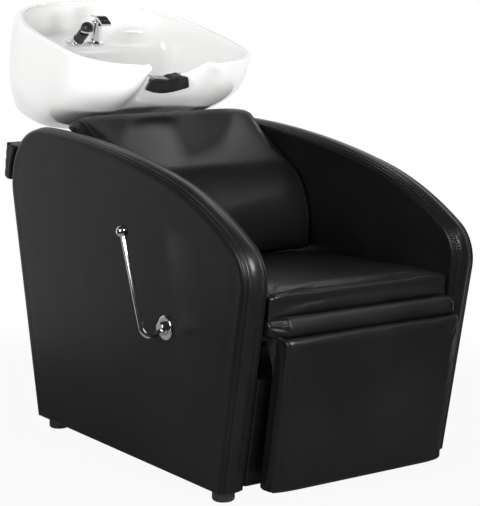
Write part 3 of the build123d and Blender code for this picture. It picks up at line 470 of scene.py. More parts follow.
def pull_of(mesh):
    """A function that gives each point's way to the middle of its neighbours."""
    edges = np.zeros(len(mesh.edges) * 2, int)
    mesh.edges.foreach_get("vertices", edges)
    a, b = edges.reshape(-1, 2).T
    count = len(mesh.vertices)
    degree = np.bincount(a, minlength=count) + np.bincount(b, minlength=count)

    def pull(points):
        total = np.zeros_like(points)
        for axis in range(3):
            total[:, axis] = np.bincount(a, points[b, axis], count) + np.bincount(
                b, points[a, axis], count
            )
        return total / degree[:, None] - points

    return pull


def eased(mesh, rounds, factor=0.5):
    """Smooths a mesh by pulling each point towards its neighbours."""
    pull = pull_of(mesh)
    points = points_of(mesh)
    for step in range(rounds):
        # An outward step after each inward one keeps the volume
        for share in (factor, -factor * OUTWARD_SHARE):
            points = points + share * pull(points)
    set_points(mesh, points)


def remeshed_copy(node, name, voxel):
    """A closed even mesh with the form of a CAD node; voxel is in millimetres."""
    mesh = frame["nodes"][node].data.copy()
    obj = new_piece(name, mesh)
    bm = bmesh.new()
    bm.from_mesh(mesh)
    bmesh.ops.remove_doubles(bm, verts=bm.verts, dist=1e-5)
    bm.to_mesh(mesh)
    bm.free()
    change = obj.modifiers.new("even", "REMESH")
    change.mode = "VOXEL"
    change.voxel_size = voxel / 1000.0
    change.use_smooth_shade = True
    settled(obj)
    return obj


def blown_up(obj, held, pressure, cap):
    """Swells a closed mesh as stuffed leather swells; held is the pinned points' weights."""
    start = points_of(obj.data)
    group = obj.vertex_groups.new(name="held")
    for index in np.nonzero(held > 0.01)[0]:
        group.add([int(index)], float(held[index]), "REPLACE")
    cloth = obj.modifiers.new("stuffing", "CLOTH")
    s = cloth.settings
    s.quality = 4
    s.mass = 0.4
    s.tension_stiffness = 25
    s.compression_stiffness = 25
    s.shear_stiffness = 12
    s.bending_stiffness = 3
    s.air_damping = 2
    s.use_pressure = True
    s.uniform_pressure_force = pressure
    s.vertex_group_mass = "held"
    s.pin_stiffness = 2
    s.effector_weights.gravity = 0
    cloth.point_cache.frame_start = 1
    cloth.point_cache.frame_end = CLOTH_FRAMES
    cloth.collision_settings.use_collision = False
    scene = bpy.context.scene
    for step in range(1, CLOTH_FRAMES + 1):
        scene.frame_set(step)
    graph = bpy.context.evaluated_depsgraph_get()
    moved = points_of(obj.evaluated_get(graph).data)
    obj.modifiers.clear()
    obj.vertex_groups.clear()
    scene.frame_set(1)
    shift = moved - start
    length = np.linalg.norm(shift, axis=1)
    # The cap comes on softly, so that no edge shows where it starts
    reach = cap / 1000.0
    shift *= (reach * np.tanh(length / reach) / np.maximum(length, 1e-9))[:, None]
    set_points(obj.data, start + shift)


def refined(obj):
    change = obj.modifiers.new("finer", "SUBSURF")
    change.levels = 1
    change.render_levels = 1
    settled(obj)
    obj.data.polygons.foreach_set("use_smooth", [True] * len(obj.data.polygons))


def groove(obj, line, depth, width):
    """Presses a seam into a mesh along a line of points given in metres."""
    tree = KDTree(len(line))
    for index, point in enumerate(line):
        tree.insert(Vector(point), index)
    tree.balance()
    points = points_of(obj.data)
    normals = normals_of(obj.data)
    low = np.min(line, axis=0) - 3 * width / 1000.0
    high = np.max(line, axis=0) + 3 * width / 1000.0
    near = np.nonzero(np.all((points > low) & (points < high), axis=1))[0]
    for index in near:
        _, _, gap = tree.find(Vector(points[index]))
        share = math.exp(-((gap * 1000.0 / width) ** 2))
        points[index] -= normals[index] * depth / 1000.0 * share
    set_points(obj.data, points)


def dense(line, step=SHORT_STEP):
    """Points every step millimetres along a line given in the chair's millimetres."""
    line = np.asarray(line, float)
    runs = np.linalg.norm(np.diff(line, axis=0), axis=1)
    along = np.concatenate([[0.0], np.cumsum(runs)])
    places = np.linspace(0.0, along[-1], max(2, int(along[-1] / step)))
    return np.column_stack([np.interp(places, along, line[:, k]) for k in range(3)])


def laid_on(obj, line, lift=0.0):
    """Moves a line of points, in metres, to the surface of a piece, lifted in millimetres."""
    tree = BVHTree.FromPolygons(
        [tuple(p) for p in points_of(obj.data)], [tuple(p.vertices) for p in obj.data.polygons]
    )
    found = []
    for point in line:
        spot, normal, _, _ = tree.find_nearest(Vector(point))
        found.append(tuple(spot + normal * lift / 1000.0))
    return np.array(found)


# ---------------------------------------------------------------- stitching


def stitch_tree():
    """Geometry Nodes that lay one thread stitch after another along a line."""
    tree = bpy.data.node_groups.new("stitch_row", "GeometryNodeTree")
    face = tree.interface
    face.new_socket("Line", in_out="INPUT", socket_type="NodeSocketGeometry")
    lengths = (("Pitch", STITCH_PITCH), ("Length", STITCH_LENGTH), ("Radius", THREAD_RADIUS))
    for name, value in lengths:
        socket = face.new_socket(name, in_out="INPUT", socket_type="NodeSocketFloat")
        socket.default_value = value / 1000.0
    face.new_socket("Thread", in_out="INPUT", socket_type="NodeSocketMaterial")
    face.new_socket("Stitches", in_out="OUTPUT", socket_type="NodeSocketGeometry")
    new = tree.nodes.new
    link = tree.links.new
    given = new("NodeGroupInput")
    curve = new("GeometryNodeMeshToCurve")
    link(given.outputs["Line"], curve.inputs["Mesh"])
    spots = new("GeometryNodeCurveToPoints")
    spots.mode = "LENGTH"
    link(curve.outputs["Curve"], spots.inputs["Curve"])
    link(given.outputs["Pitch"], spots.inputs["Length"])
    bead = new("GeometryNodeMeshUVSphere")
    bead.inputs["Segments"].default_value = 6
    bead.inputs["Rings"].default_value = 5
    bead.inputs["Radius"].default_value = 1.0
    half = new("ShaderNodeMath")
    half.operation = "MULTIPLY"
    half.inputs[1].default_value = 0.5
    link(given.outputs["Length"], half.inputs[0])
    shape = new("ShaderNodeCombineXYZ")
    link(given.outputs["Radius"], shape.inputs["X"])
    link(given.outputs["Radius"], shape.inputs["Y"])
    link(half.outputs[0], shape.inputs["Z"])
    turn = new("FunctionNodeAlignRotationToVector")
    turn.axis = "Z"
    link(spots.outputs["Tangent"], turn.inputs["Vector"])
    laid = new("GeometryNodeInstanceOnPoints")
    link(spots.outputs["Points"], laid.inputs["Points"])
    link(bead.outputs["Mesh"], laid.inputs["Instance"])
    link(turn.outputs["Rotation"], laid.inputs["Rotation"])
    link(shape.outputs["Vector"], laid.inputs["Scale"])
    real = new("GeometryNodeRealizeInstances")
    link(laid.outputs["Instances"], real.inputs["Geometry"])
    smooth = new("GeometryNodeSetShadeSmooth")
    link(real.outputs["Geometry"], smooth.inputs["Geometry"])
    painted = new("GeometryNodeSetMaterial")
    link(smooth.outputs["Geometry"], painted.inputs["Geometry"])
    link(given.outputs["Thread"], painted.inputs["Material"])
    out = new("NodeGroupOutput")
    link(painted.outputs["Geometry"], out.inputs["Stitches"])
    return tree


def socket_ids(tree):
    return {item.name: item.identifier for item in tree.interface.items_tree}


def sew(name, body, lines, tree, thread):
    """One piece of stitching along several lines of points in metres."""
    points = []
    edges = []
    for line in lines:
        base = len(points)
        points += [tuple(p) for p in line]
        edges += [(base + i, base + i + 1) for i in range(len(line) - 1)]
    mesh = bpy.data.meshes.new(name)
    mesh.from_pydata(points, edges, [])
    obj = new_piece(name, mesh)
    rows = obj.modifiers.new("stitches", "NODES")
    rows.node_group = tree
    ids = socket_ids(tree)
    rows[ids["Thread"]] = thread
    settled(obj)
    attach(obj, body)


# ---------------------------------------------------------------- side panels


def panel_outline(grow):
    """A side panel's outline in Y and Z, grown all round but at the floor."""
    lean = math.radians(FRONT_LEAN)
    rise = ELBOW_Z - PANEL_BOTTOM
    foot_y = ELBOW_Y + rise * math.tan(lean)
    start = np.array([foot_y - grow / math.cos(lean), PANEL_BOTTOM])
    length = rise / math.cos(lean) - grow * math.tan(lean)
    heading = np.array([-math.sin(lean), math.cos(lean)])
    points = [start + heading * length * t for t in np.linspace(0, 1, 150)[:-1]]
    here = start + heading * length
    angle = math.atan2(heading[1], heading[0])
    for radius, turn, count in PANEL_ARCS:
        r = radius + grow
        centre = here + r * np.array([math.sin(angle), -math.cos(angle)])
        for t in np.linspace(0, 1, count + 1)[:-1]:
            a = angle - math.radians(turn) * t
            points.append(centre + r * np.array([-math.sin(a), math.cos(a)]))
        angle -= math.radians(turn)
        here = centre + r * np.array([-math.sin(angle), math.cos(angle)])
    run = (here[1] - PANEL_BOTTOM) * math.tan(math.radians(REAR_LEAN))
    end = np.array([here[0] - run, PANEL_BOTTOM])
    points += [here + (end - here) * t for t in np.linspace(0, 1, 40)[:-1]]
    top_count = len(points)
    points += [end + (start - end) * t for t in np.linspace(0, 1, 50)[:-1]]
    return np.array(points), top_count


# Depth in from a face and growth of the outline: the face's rolled edge, the seam
# and half of the crowned band
PANEL_SECTION = (
    (0.25, -30.0),
    (0.0, -20.0),
    (0.0, -12.5),
    (0.35, -9.5),
    (1.3, -6.3),
    (2.8, -3.8),
    (4.8, -1.9),
    (6.8, -1.0),
    (7.8, -1.3),
    (8.5, -2.6),
    (9.0, -3.4),
    (9.6, -2.2),
    (10.6, -0.6),
    (12.2, 0.5),
    (14.6, 1.3),
    (15.9, 1.2),
    (16.6, 0.9),
    (17.3, 1.3),
    (19.0, 2.2),
    (22.0, 3.2),
    (26.5, 4.4),
    (33.0, 5.0),
)
PANEL_STITCH_DEPTH = 16.6
PANEL_STITCH_GROW = 1.2

# Rings that fill a face, as shares of the way out from its middle, and their rise
FACE_MIDDLE = (0.0, -20.0, 300.0)
FACE_SHARES = (0.985, 0.96, 0.92, 0.86, 0.78, 0.68, 0.56, 0.43, 0.3, 0.17, 0.07)
FACE_LIFT = 0.25

# Puckers of the band at the elbow
GATHER_MIDDLE = (ELBOW_Y + 50.0, ELBOW_Z + 45.0)
GATHER_REACH = 70.0
GATHER_DEPTH = 11.0
GATHER_PITCH = 7.5
GATHER_HEIGHT = 0.45
GATHER_SPREAD = 1800.0
GATHER_FADE = 9.0


def panel_ring(sign, depth, grow):
    outline, _ = panel_outline(grow)
    x = sign * (PANEL_HALF - depth)
    if 8.0 < depth < PANEL_THICK - 8.0:
        outline = outline + gathers(outline, min(depth, PANEL_THICK - depth))
    return np.column_stack([np.full(len(outline), x), outline])


def gathers(outline, depth):
    """Small puckers across the band beside its seam, where the leather turns the elbow."""
    gap = np.linalg.norm(outline - np.array(GATHER_MIDDLE), axis=1)
    window = np.exp(-((gap - GATHER_REACH) ** 2) / GATHER_SPREAD)
    window *= math.exp(-((depth - GATHER_DEPTH) / GATHER_FADE) ** 2)
    run = np.linalg.norm(np.diff(outline, axis=0, append=outline[:1]), axis=1)
    along = np.cumsum(run)
    heading = np.roll(outline, -1, axis=0) - np.roll(outline, 1, axis=0)
    heading /= np.maximum(np.linalg.norm(heading, axis=1, keepdims=True), 1e-9)
    outward = np.column_stack([-heading[:, 1], heading[:, 0]])
    wave = np.sin(along * 2 * math.pi / GATHER_PITCH + 1.3 * np.sin(along / 17.0))
    return outward * (GATHER_HEIGHT * window * (wave - 0.6))[:, None]


def make_panel(side, sign, finishes, tree):
    """A padded side panel with its wide crowned band and sewn seams."""
    section = list(PANEL_SECTION)
    section += [(PANEL_THICK - depth, grow) for depth, grow in reversed(PANEL_SECTION[:-1])]
    rings = [panel_ring(sign, depth, grow) for depth, grow in section]
    middle = np.array(FACE_MIDDLE)
    outer = []
    inner = []
    for share in FACE_SHARES:
        for store, ring in ((outer, rings[0]), (inner, rings[-1])):
            at = middle + (ring - middle) * share
            lift = (sign if store is outer else -sign) * FACE_LIFT
            at[:, 0] = ring[:, 0] + lift * min(1.0, (1 - share) * 20)
            store.append(at)
    rings = outer[::-1] + rings + inner
    first = np.array([[sign * PANEL_HALF, middle[1], middle[2]]])
    last = np.array([[sign * (PANEL_HALF - PANEL_THICK), middle[1], middle[2]]])
    name = f"{side}_panel"
    obj = new_piece(name, skin_rings(name, rings, first, last), finishes["upholstery"])
    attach(obj, "chair")
    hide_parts(f"{side}_side_cover")
    lines = []
    outline, top_count = panel_outline(PANEL_STITCH_GROW)
    upper = outline[:top_count]
    for depth in (PANEL_STITCH_DEPTH, PANEL_THICK - PANEL_STITCH_DEPTH):
        x = sign * (PANEL_HALF - depth)
        row = np.column_stack([np.full(len(upper), x), upper])
        lines.append(to_row(dense(row, LONG_STEP)))
    sew(f"{side}_panel_stitching", "chair", lines, tree, finishes["thread"])


# ---------------------------------------------------------------- cushions

# Cushions: voxel, shrink before swelling, pressure, and cap of the swelling
SEAT_STUFFING = (6.5, 4.0, 4.0, 8.0)
ROLL_STUFFING = (4.0, 1.0, 3.0, 1.5)
BACK_STUFFING = (5.5, 3.0, 4.0, 7.0)
LEG_STUFFING = (5.0, 1.5, 3.0, 2.5)
CLOTH_FRAMES = 20

# Each seam's groove is given by its depth and width, and its stitches by their places.

# The seat's profile in Y and Z, from the foot of its front to its back
SEAT_PROFILE = (
    (-497, 418),
    (-511, 470),
    (-510.5, 478),
    (-506, 485.5),
    (-496, 489),
    (-300, 482),
    (-100, 470),
    (100, 456),
)
SEAT_HALF = 262.5
SEAT_SEAM = 249.0
SEAT_GROOVE = (1.8, 3.2)
SEAT_STITCH_GAP = 4.0
WELT = ((-250.0, -494.0, 490.0), (250.0, -494.0, 490.0))
WELT_GROOVE = (1.5, 3.4)

# The roll's middle in Y and Z, and where its gathered ends start and stop across
ROLL_MIDDLE = (-522.0, 412.0)
ROLL_END_START = 231.5
ROLL_END_LENGTH = 32.2
ROLL_END_SHIFT = (27.0, -3.0)

# The back's front face: upright, a curve, a slope and a rolled top
BACK_FRONT = 24.0
BACK_FOOT = 468.0
BACK_BEND_START = 540.0
BACK_BEND = 180.0
BACK_LEAN = 59.0
BACK_SLOPE = 203
BACK_ROLL = 85.0
BACK_ROLL_TURN = 83.0
BACK_HALF = 262.8
BACK_SEAM = 254.0
BACK_GROOVE = (1.6, 3.2)
BACK_STITCH_GAP = 4.2
BACK_STEP = 2.0

# The leg rest's front face in its own frame, from its top to its bottom
LEG_PROFILE = (
    (-6.0, 0.0),
    (-33.0, 0.0),
    (-42.0, -3.0),
    (-47.0, -10.0),
    (-50.0, -60.0),
    (-52.5, -187.0),
    (-50.0, -320.0),
    (-47.0, -366.0),
    (-44.0, -371.0),
    (-38.0, -374.5),
)
LEG_HALF = 250.0
LEG_FRONT = 50.5
LEG_TOP_RADIUS = 27.0
LEG_CORNER_RADIUS = 16.0
LEG_SEAM = 246.0
LEG_GROOVE = (2.0, 2.6)
LEG_STITCHES = 240.5
LEG_GUSSET = ((-43.0, -10.0), (-43.0, -366.0))


def own_frame(tilted, points):
    """Points in metres of the shared frame, back in a tilted frame's millimetres."""
    start, lean = tilted
    c, s = math.cos(math.radians(lean)), math.sin(math.radians(lean))
    p = points * 1000.0 - ORIGIN - np.array(start)
    return np.column_stack([p[:, 0], p[:, 1] * c + p[:, 2] * s, -p[:, 1] * s + p[:, 2] * c])


def stuffed(node, name, held_by, voxel, shrink, pressure, cap):
    """A cushion swollen from its CAD form; held_by gives the pinned points' weights."""
    obj = remeshed_copy(node, name, voxel)
    held = held_by(points_of(obj.data) * 1000.0 - ORIGIN)
    free = (1.0 - held)[:, None]
    points = points_of(obj.data) - normals_of(obj.data) * free * shrink / 1000.0
    set_points(obj.data, points)
    blown_up(obj, held, pressure, cap)
    eased(obj.data, 3)
    refined(obj)
    return obj


def kept_between(obj, half):
    """Keeps a cushion clear of the panels at its sides."""
    points = points_of(obj.data)
    middle = ORIGIN[0] / 1000.0
    points[:, 0] = np.clip(points[:, 0], middle - half / 1000.0, middle + half / 1000.0)
    set_points(obj.data, points)


def finished_pad(obj, body, node, finish):
    """Paints a soft piece, hangs it on the body it rides on and hides the CAD node it stands for.
    """
    paint(obj.data, finish)
    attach(obj, body)
    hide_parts(node)


def seat_line(x):
    """The seat's profile at a place across, from the foot of its front to its back."""
    return dense([(x, y, z) for y, z in SEAT_PROFILE])


def make_seat(finishes, tree):
    """The seat cushion, sewn along both sides and pulled tight over its front."""

    def held_by(p):
        low = np.clip((430.0 - p[:, 2]) / 8.0, 0, 1)
        back = np.clip((p[:, 1] - 90.0) / 10.0, 0, 1)
        return np.maximum(low, back)

    obj = stuffed("seat_cushion", "seat_cushion_padded", held_by, *SEAT_STUFFING)
    kept_between(obj, SEAT_HALF)
    lines = []
    for x in (-SEAT_SEAM, SEAT_SEAM):
        line = laid_on(obj, to_row(seat_line(x)))
        groove(obj, line, *SEAT_GROOVE)
        for beside in (-SEAT_STITCH_GAP, SEAT_STITCH_GAP):
            lines.append(laid_on(obj, to_row(seat_line(x + beside)), STITCH_LIFT))
    welt = laid_on(obj, to_row(dense(WELT, LONG_STEP)))
    groove(obj, welt, *WELT_GROOVE)
    finished_pad(obj, "chair", "seat_cushion", finishes["upholstery"])
    sew("seat_stitching", "chair", lines, tree, finishes["thread"])


def ridged(p):
    """Draws the roll's top out to a narrow ridge and flattens its front."""
    y = p[:, 1] - ROLL_MIDDLE[0]
    z = p[:, 2] - ROLL_MIDDLE[1]
    angle = np.arctan2(z, -y)
    front = np.clip((6.0 - y) / 8.0, 0, 1)
    swell = 0.07 * bump_at(angle, 1.25, 0.22) - 0.10 * bump_at(angle, 0.45, 0.5)
    p[:, 1] += y * swell * front
    p[:, 2] += z * swell * front
    return p


def make_roll(finishes):
    """The padded roll in front of the seat."""

    def held_by(p):
        return np.clip((p[:, 1] + 505.0) / 8.0, 0, 1)

    obj = stuffed("front_roll", "front_roll_padded", held_by, *ROLL_STUFFING)
    p = points_of(obj.data) * 1000.0 - ORIGIN
    set_points(obj.data, to_row(ridged(p)))
    finished_pad(obj, "chair", "front_roll", finishes["upholstery"])


def roll_end(sign):
    """Gathered leather drawn from an end of the roll back to the corner of the seat."""
    rings = []
    count = 120
    turns = np.linspace(0, 2 * math.pi, count, endpoint=False)
    for t in np.linspace(0, 1, 26):
        x = sign * (ROLL_END_START + ROLL_END_LENGTH * t)
        ease = t * t * (3 - 2 * t)
        middle = [at + shift * ease for at, shift in zip(ROLL_MIDDLE, ROLL_END_SHIFT)]
        wide = 23.4 - 11.0 * ease
        high = 23.2 - 7.0 * ease
        pleat = 1.5 * math.sin(math.pi * min(1.0, t * 1.1)) ** 0.7
        fold = pleat * np.sin(turns * 7 + 3.0 * t + 0.9 * np.sin(turns * 2 + 1.0))
        fold -= 3.0 * math.sin(math.pi * t) * np.exp(-((np.cos(turns - 2.3) - 1.0) ** 2) * 9)
        y = middle[0] + (wide + fold) * np.cos(turns)
        z = middle[1] + (high + fold) * np.sin(turns)
        rings.append(np.column_stack([np.full(count, x), y, z]))
    last = [at + shift for at, shift in zip(ROLL_MIDDLE, ROLL_END_SHIFT)]
    return rings, [(rings[0][0, 0], *ROLL_MIDDLE)], [(rings[-1][0, 0], *last)]


def make_roll_ends(finishes):
    """The gathers that close the roll at both ends."""
    for side, sign in (("left", -1), ("right", 1)):
        rings, first, last = roll_end(sign)
        name = f"{side}_roll_gather"
        obj = new_piece(name, skin_rings(name, rings, first, last), finishes["upholstery"])
        refined(obj)
        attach(obj, "chair")


def back_line(x):
    """The back's front face at a place across, from the bottom to its rolled top."""
    lean = math.radians(BACK_LEAN)
    points = [(x, BACK_FRONT, BACK_FOOT), (x, BACK_FRONT, BACK_BEND_START)]
    for t in np.linspace(0, 1, 30)[1:]:
        a = lean * t
        y = BACK_FRONT + BACK_BEND - BACK_BEND * math.cos(a)
        points.append((x, y, BACK_BEND_START + BACK_BEND * math.sin(a)))
    y, z = points[-1][1:]
    points.append((x, y + BACK_SLOPE * math.sin(lean), z + BACK_SLOPE * math.cos(lean)))
    y, z = points[-1][1:]
    centre = (y + BACK_ROLL * math.cos(lean), z - BACK_ROLL * math.sin(lean))
    for t in np.linspace(0, 1, 14)[1:]:
        a = lean + math.radians(BACK_ROLL_TURN) * t
        y = centre[0] - BACK_ROLL * math.cos(a)
        points.append((x, y, centre[1] + BACK_ROLL * math.sin(a)))
    return dense(points, BACK_STEP)


def make_back(finishes, tree):
    """The thick back pad, sewn along the edges of its front face."""

    def held_by(p):
        run = p[:, 1] - BACK_FRONT
        return np.clip((np.abs(p[:, 2] - 500.0) < 45) * (run - 60.0) / 10.0, 0, 1)

    obj = stuffed("backrest_pad", "backrest_padded", held_by, *BACK_STUFFING)
    kept_between(obj, BACK_HALF)
    lines = []
    for x in (-BACK_SEAM, BACK_SEAM):
        line = laid_on(obj, to_row(back_line(x)))
        groove(obj, line, *BACK_GROOVE)
        side = math.copysign(BACK_STITCH_GAP, x)
        for beside in (-side, side):
            lines.append(laid_on(obj, to_row(back_line(x + beside)), STITCH_LIFT))
    finished_pad(obj, "chair", "backrest_pad", finishes["upholstery"])
    sew("backrest_stitching", "chair", lines, tree, finishes["thread"])


def leg_line(x):
    """The leg rest's front face at a place across, from its top to its bottom."""
    return from_frame(LEG_FRAME, dense([(x, y, z) for y, z in LEG_PROFILE]))


def rounding(across, up, radius, where=True):
    """Marks the points outside a rounded corner and says how far each is drawn in."""
    reach = np.hypot(across, up)
    outside = (across > 0) & (up > 0) & (reach > radius) & where
    return outside, np.where(outside, radius / np.maximum(reach, 1e-6), 1.0)


def rolled_top(obj):
    """Rounds the top of the leg rest's front, and its corners seen from the front."""
    local = own_frame(LEG_FRAME, points_of(obj.data))
    radius = LEG_TOP_RADIUS
    y = local[:, 1] + LEG_FRONT - radius
    z = local[:, 2] + radius
    _, scale = rounding(-y, z, radius)
    local[:, 1] = y * scale - LEG_FRONT + radius
    local[:, 2] = z * scale - radius
    radius = LEG_CORNER_RADIUS
    half = LEG_HALF - radius
    across = np.abs(local[:, 0]) - LEG_HALF + radius
    up = local[:, 2] + radius
    outside, scale = rounding(across, up, radius, local[:, 1] < -14.0)
    drawn = np.sign(local[:, 0]) * (across * scale + half)
    local[:, 0] = np.where(outside, drawn, local[:, 0])
    local[:, 2] = np.where(outside, up * scale - radius, local[:, 2])
    set_points(obj.data, to_row(from_frame(LEG_FRAME, local)))
    eased(obj.data, 3)


def make_leg_pad(finishes, tree):
    """The leg rest's pad: a crowned front face double-sewn to a flat gusset."""

    def held_by(p):
        local = own_frame(LEG_FRAME, (p + ORIGIN) / 1000.0)
        return np.clip((local[:, 1] + 16.0) / 8.0, 0, 1)

    obj = stuffed("legrest_pad", "legrest_padded", held_by, *LEG_STUFFING)
    rolled_top(obj)
    lines = []
    for sign in (-1, 1):
        line = laid_on(obj, to_row(leg_line(sign * LEG_SEAM)))
        groove(obj, line, *LEG_GROOVE)
        lines.append(laid_on(obj, to_row(leg_line(sign * LEG_STITCHES)), STITCH_LIFT))
        ends = [(sign * LEG_HALF, y, z) for y, z in LEG_GUSSET]
        gusset = from_frame(LEG_FRAME, dense(ends))
        lines.append(laid_on(obj, to_row(gusset), STITCH_LIFT))
    finished_pad(obj, "legrest", "legrest_pad", finishes["upholstery"])
    sew("legrest_stitching", "legrest", lines, tree, finishes["thread"])


# CAD node, name and voxel of each board that is wrapped in leather
COVERED_BOARDS = (
    ("kick_panel", "kick_panel_covered", 5.0),
    ("rear_beam_cover", "rear_beam_covered", 5.0),
    ("seat_board", "seat_board_covered", 7.0),
    ("backrest_board", "backrest_board_covered", 7.0),
)


def covered_board(node, name, finishes, voxel):
    """A board wrapped in leather over thin foam, its edges rounded."""
    obj = remeshed_copy(node, name, voxel)
    eased(obj.data, 4)
    refined(obj)
    finished_pad(obj, "chair", node, finishes["upholstery"])


# ---------------------------------------------------------------- basin

# The bowl's cheeks beside the throat: depths, then places across or back
CHEEK_EDGE = (
    [0.0, 40.0, 75.0, 110.0, 160.0, 230.0],
    [94.0, 98.0, 115.0, 136.0, 146.0, 160.0],
)
CHEEK_SETBACK = ([0.0, 60.0, 110.0, 160.0, 230.0], [6.0, 14.0, 40.0, 105.0, 220.0])
WASTE_PLACE = 390.0
WASTE_REACH = 48.0
FLOW_ROUNDS = 260
BOWL_VOXEL = 3.6

# The neck rest's half width and how far its front bulges
NECK_HALF = 62.0
NECK_BULGE = 5.0
NECK_VOXEL = 2.2


def bowl_flow(mesh):
    """Softens the tap deck's edge, the throat's cheeks and the notch's ears."""
    pull = pull_of(mesh)
    points = points_of(mesh)
    x, y, z = own_frame(BASIN_FRAME, points).T
    away, depth = np.abs(x), -z
    inside = (depth > 25.0) & (away < 262.0)
    deck = bump_at(y, 470.0, 34.0) * np.clip((484.0 - y) / 10.0, 0, 1)
    corner = ramp(away, 120.0, 40.0) * bump_at(y, 500.0, 80.0)
    deep = np.clip((z + 210.0) / 25.0, 0, 1) * ramp(depth, 60.0, 20.0)
    weight = np.where(inside, np.maximum(deck, corner) * deep, 0.0)
    edge = np.interp(depth, *CHEEK_EDGE)
    setback = np.interp(depth, *CHEEK_SETBACK)
    cheek = bump_at(away, edge, 26.0) * bump_at(y, setback, 30.0)
    cheek *= ramp(depth, 16.0, 22.0) * np.clip((245.0 - depth) / 30.0, 0, 1)
    ear = bump_at(away, 97.0, 24.0) * np.clip((64.0 - y) / 16.0, 0, 1)
    ear *= np.clip((48.0 - depth) / 14.0, 0, 1) * 0.14
    weight = np.maximum(weight, np.maximum(cheek, ear))
    weight[np.hypot(x, y - WASTE_PLACE) < WASTE_REACH] = 0.0
    weight = np.clip(weight, 0, 1)[:, None] * 0.5
    for step in range(FLOW_ROUNDS):
        points = points + weight * pull(points)
    set_points(mesh, points)


def make_bowl(finishes):
    """The glazed bowl, its edges rounded as a casting's are."""
    obj = remeshed_copy("basin", "basin_ceramic", BOWL_VOXEL)
    eased(obj.data, 10, 0.62)
    bowl_flow(obj.data)
    paint(obj.data, finishes["ceramic"])
    obj.data.polygons.foreach_set("use_smooth", [True] * len(obj.data.polygons))
    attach(obj, "basin")
    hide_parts("basin")


def saddle(mesh):
    """A full, level top that spreads into a rounded tongue down the throat."""
    local = own_frame(BASIN_FRAME, points_of(mesh))
    outward = -normals_of(mesh)[:, 1]
    x, y, depth = local[:, 0].copy(), local[:, 1], -local[:, 2]
    away = np.abs(x)
    steps = np.arange(0.0, NECK_HALF + 4.0, 4.0)
    crest = [depth[np.abs(away - at) < 4.0].min() for at in steps]
    top = np.polyval(np.polyfit(steps**2, crest, 2), away**2)
    level = top[np.argmin(away)] - np.interp(away, [0.0, 44.0, NECK_HALF], [0.0, 9.0, 5.0])
    low = depth.max()
    depth = low - (low - depth) * (low - level) / np.maximum(low - top, 1.0)
    spread = np.interp(depth, [44.0, 60.0, 102.0], [0.8, 0.93, 1.12])
    bulge = NECK_BULGE * np.clip(1 - (x / NECK_HALF) ** 2, 0, 1) * ramp(depth, 48.0, 20.0)
    bulge *= np.clip((low + 2.0 - depth) / 14.0, 0, 1) * np.clip(outward * 2.0, 0, 1)
    local = np.stack([x * spread, y - bulge, -depth], axis=1)
    set_points(mesh, to_row(from_frame(BASIN_FRAME, local)))


def make_neck_pad(finishes):
    """The soft saddle in the neck notch."""
    obj = remeshed_copy("neck_rest", "neck_rest_soft", NECK_VOXEL)
    saddle(obj.data)
    eased(obj.data, 12, 0.6)
    refined(obj)
    finished_pad(obj, "basin", "neck_rest", finishes["neck_rubber"])


# ---------------------------------------------------------------- studio

FLOOR_HALF = 2500.0
FLOOR_FADE = (0.95, 1.6)
FLOOR_TONE = 0.15
FLOOR_SEEN = 0.94
FLOOR_MIRRORED = 0.06
WORLD_LEVEL = 0.6

# Name, place, target, width, height, power, whether it is mirrored, and spread
LAMPS = (
    ("overhead_softbox", (0.0, -0.3, 3.0), (0.0, 0.0, 0.5), 2.0, 2.0, 4.0, False, 180.0),
    ("left_softbox", (-3.1, -1.1, 2.0), (0.0, 0.0, 0.7), 1.5, 1.5, 80.0, True, 180.0),
    ("elbow_softbox", (0.12, -2.4, 2.0), (-0.3, -0.5, 0.46), 0.7, 0.7, 5.0, True, 34.0),
    ("edge_softbox", (1.35, -1.52, 2.14), (0.0, -0.5, 0.45), 0.3, 0.3, 0.4, True, 60.0),
    ("back_softbox", (1.4, 0.85, 2.7), (-0.05, 0.25, 0.83), 0.4, 0.4, 4.0, True, 180.0),
    ("front_fill", (-0.3, -3.6, 0.3), (0.0, 0.2, 0.9), 2.4, 0.6, 118.0, False, 180.0),
)

# The photograph is 506 pixels high, which the camera's longer side spans
PHOTO_SIDE = 506.0
SENSOR = 36.0
FOCAL_PIXELS = 1713.1
SHIFT_PIXELS = (-1.8, 11.4)
CAMERA_PLACE = (-2.3448, -3.59831, 1.1823)
CAMERA_DIP = 9.84
CAMERA_TURN = -34.86


def make_floor():
    """A pale floor that fades into the background and keeps the object's shadow."""
    f = Finish("studio_floor")
    where = f.node("ShaderNodeTexCoord").outputs["Object"]
    far = f.read("ShaderNodeVectorMath", {"operation": "LENGTH"}, {0: where}, "Value")
    path = f.node("ShaderNodeLightPath").outputs
    mirrored = Number(f, path["Is Glossy Ray"]).most(Number(f, path["Is Transmission Ray"]))
    seen = (Number(f, path["Is Camera Ray"]) * FLOOR_SEEN).most(mirrored * FLOOR_MIRRORED)
    matt = f.node("ShaderNodeBsdfDiffuse", None, {"Color": grey(FLOOR_TONE)})
    glow = f.node("ShaderNodeEmission", None, {"Color": (1.0, 1.0, 1.0, 1.0), "Strength": 1.0})
    lit = f.node("ShaderNodeMixShader", None, {0: seen, 1: matt.outputs[0], 2: glow.outputs[0]})
    clear = f.node("ShaderNodeBsdfTransparent")
    fade = far.between(*FLOOR_FADE)
    whole = f.node("ShaderNodeMixShader", None, {0: fade, 1: lit.outputs[0], 2: clear.outputs[0]})
    f.node("ShaderNodeOutputMaterial", None, {"Surface": whole.outputs[0]})
    half = FLOOR_HALF
    corners = [(-half, -half, 0), (half, -half, 0), (half, half, 0), (-half, half, 0)]
    mesh = mesh_of("floor", np.array(corners) - ORIGIN, [(0, 1, 2, 3)], False)
    new_piece("floor", mesh, f.material)


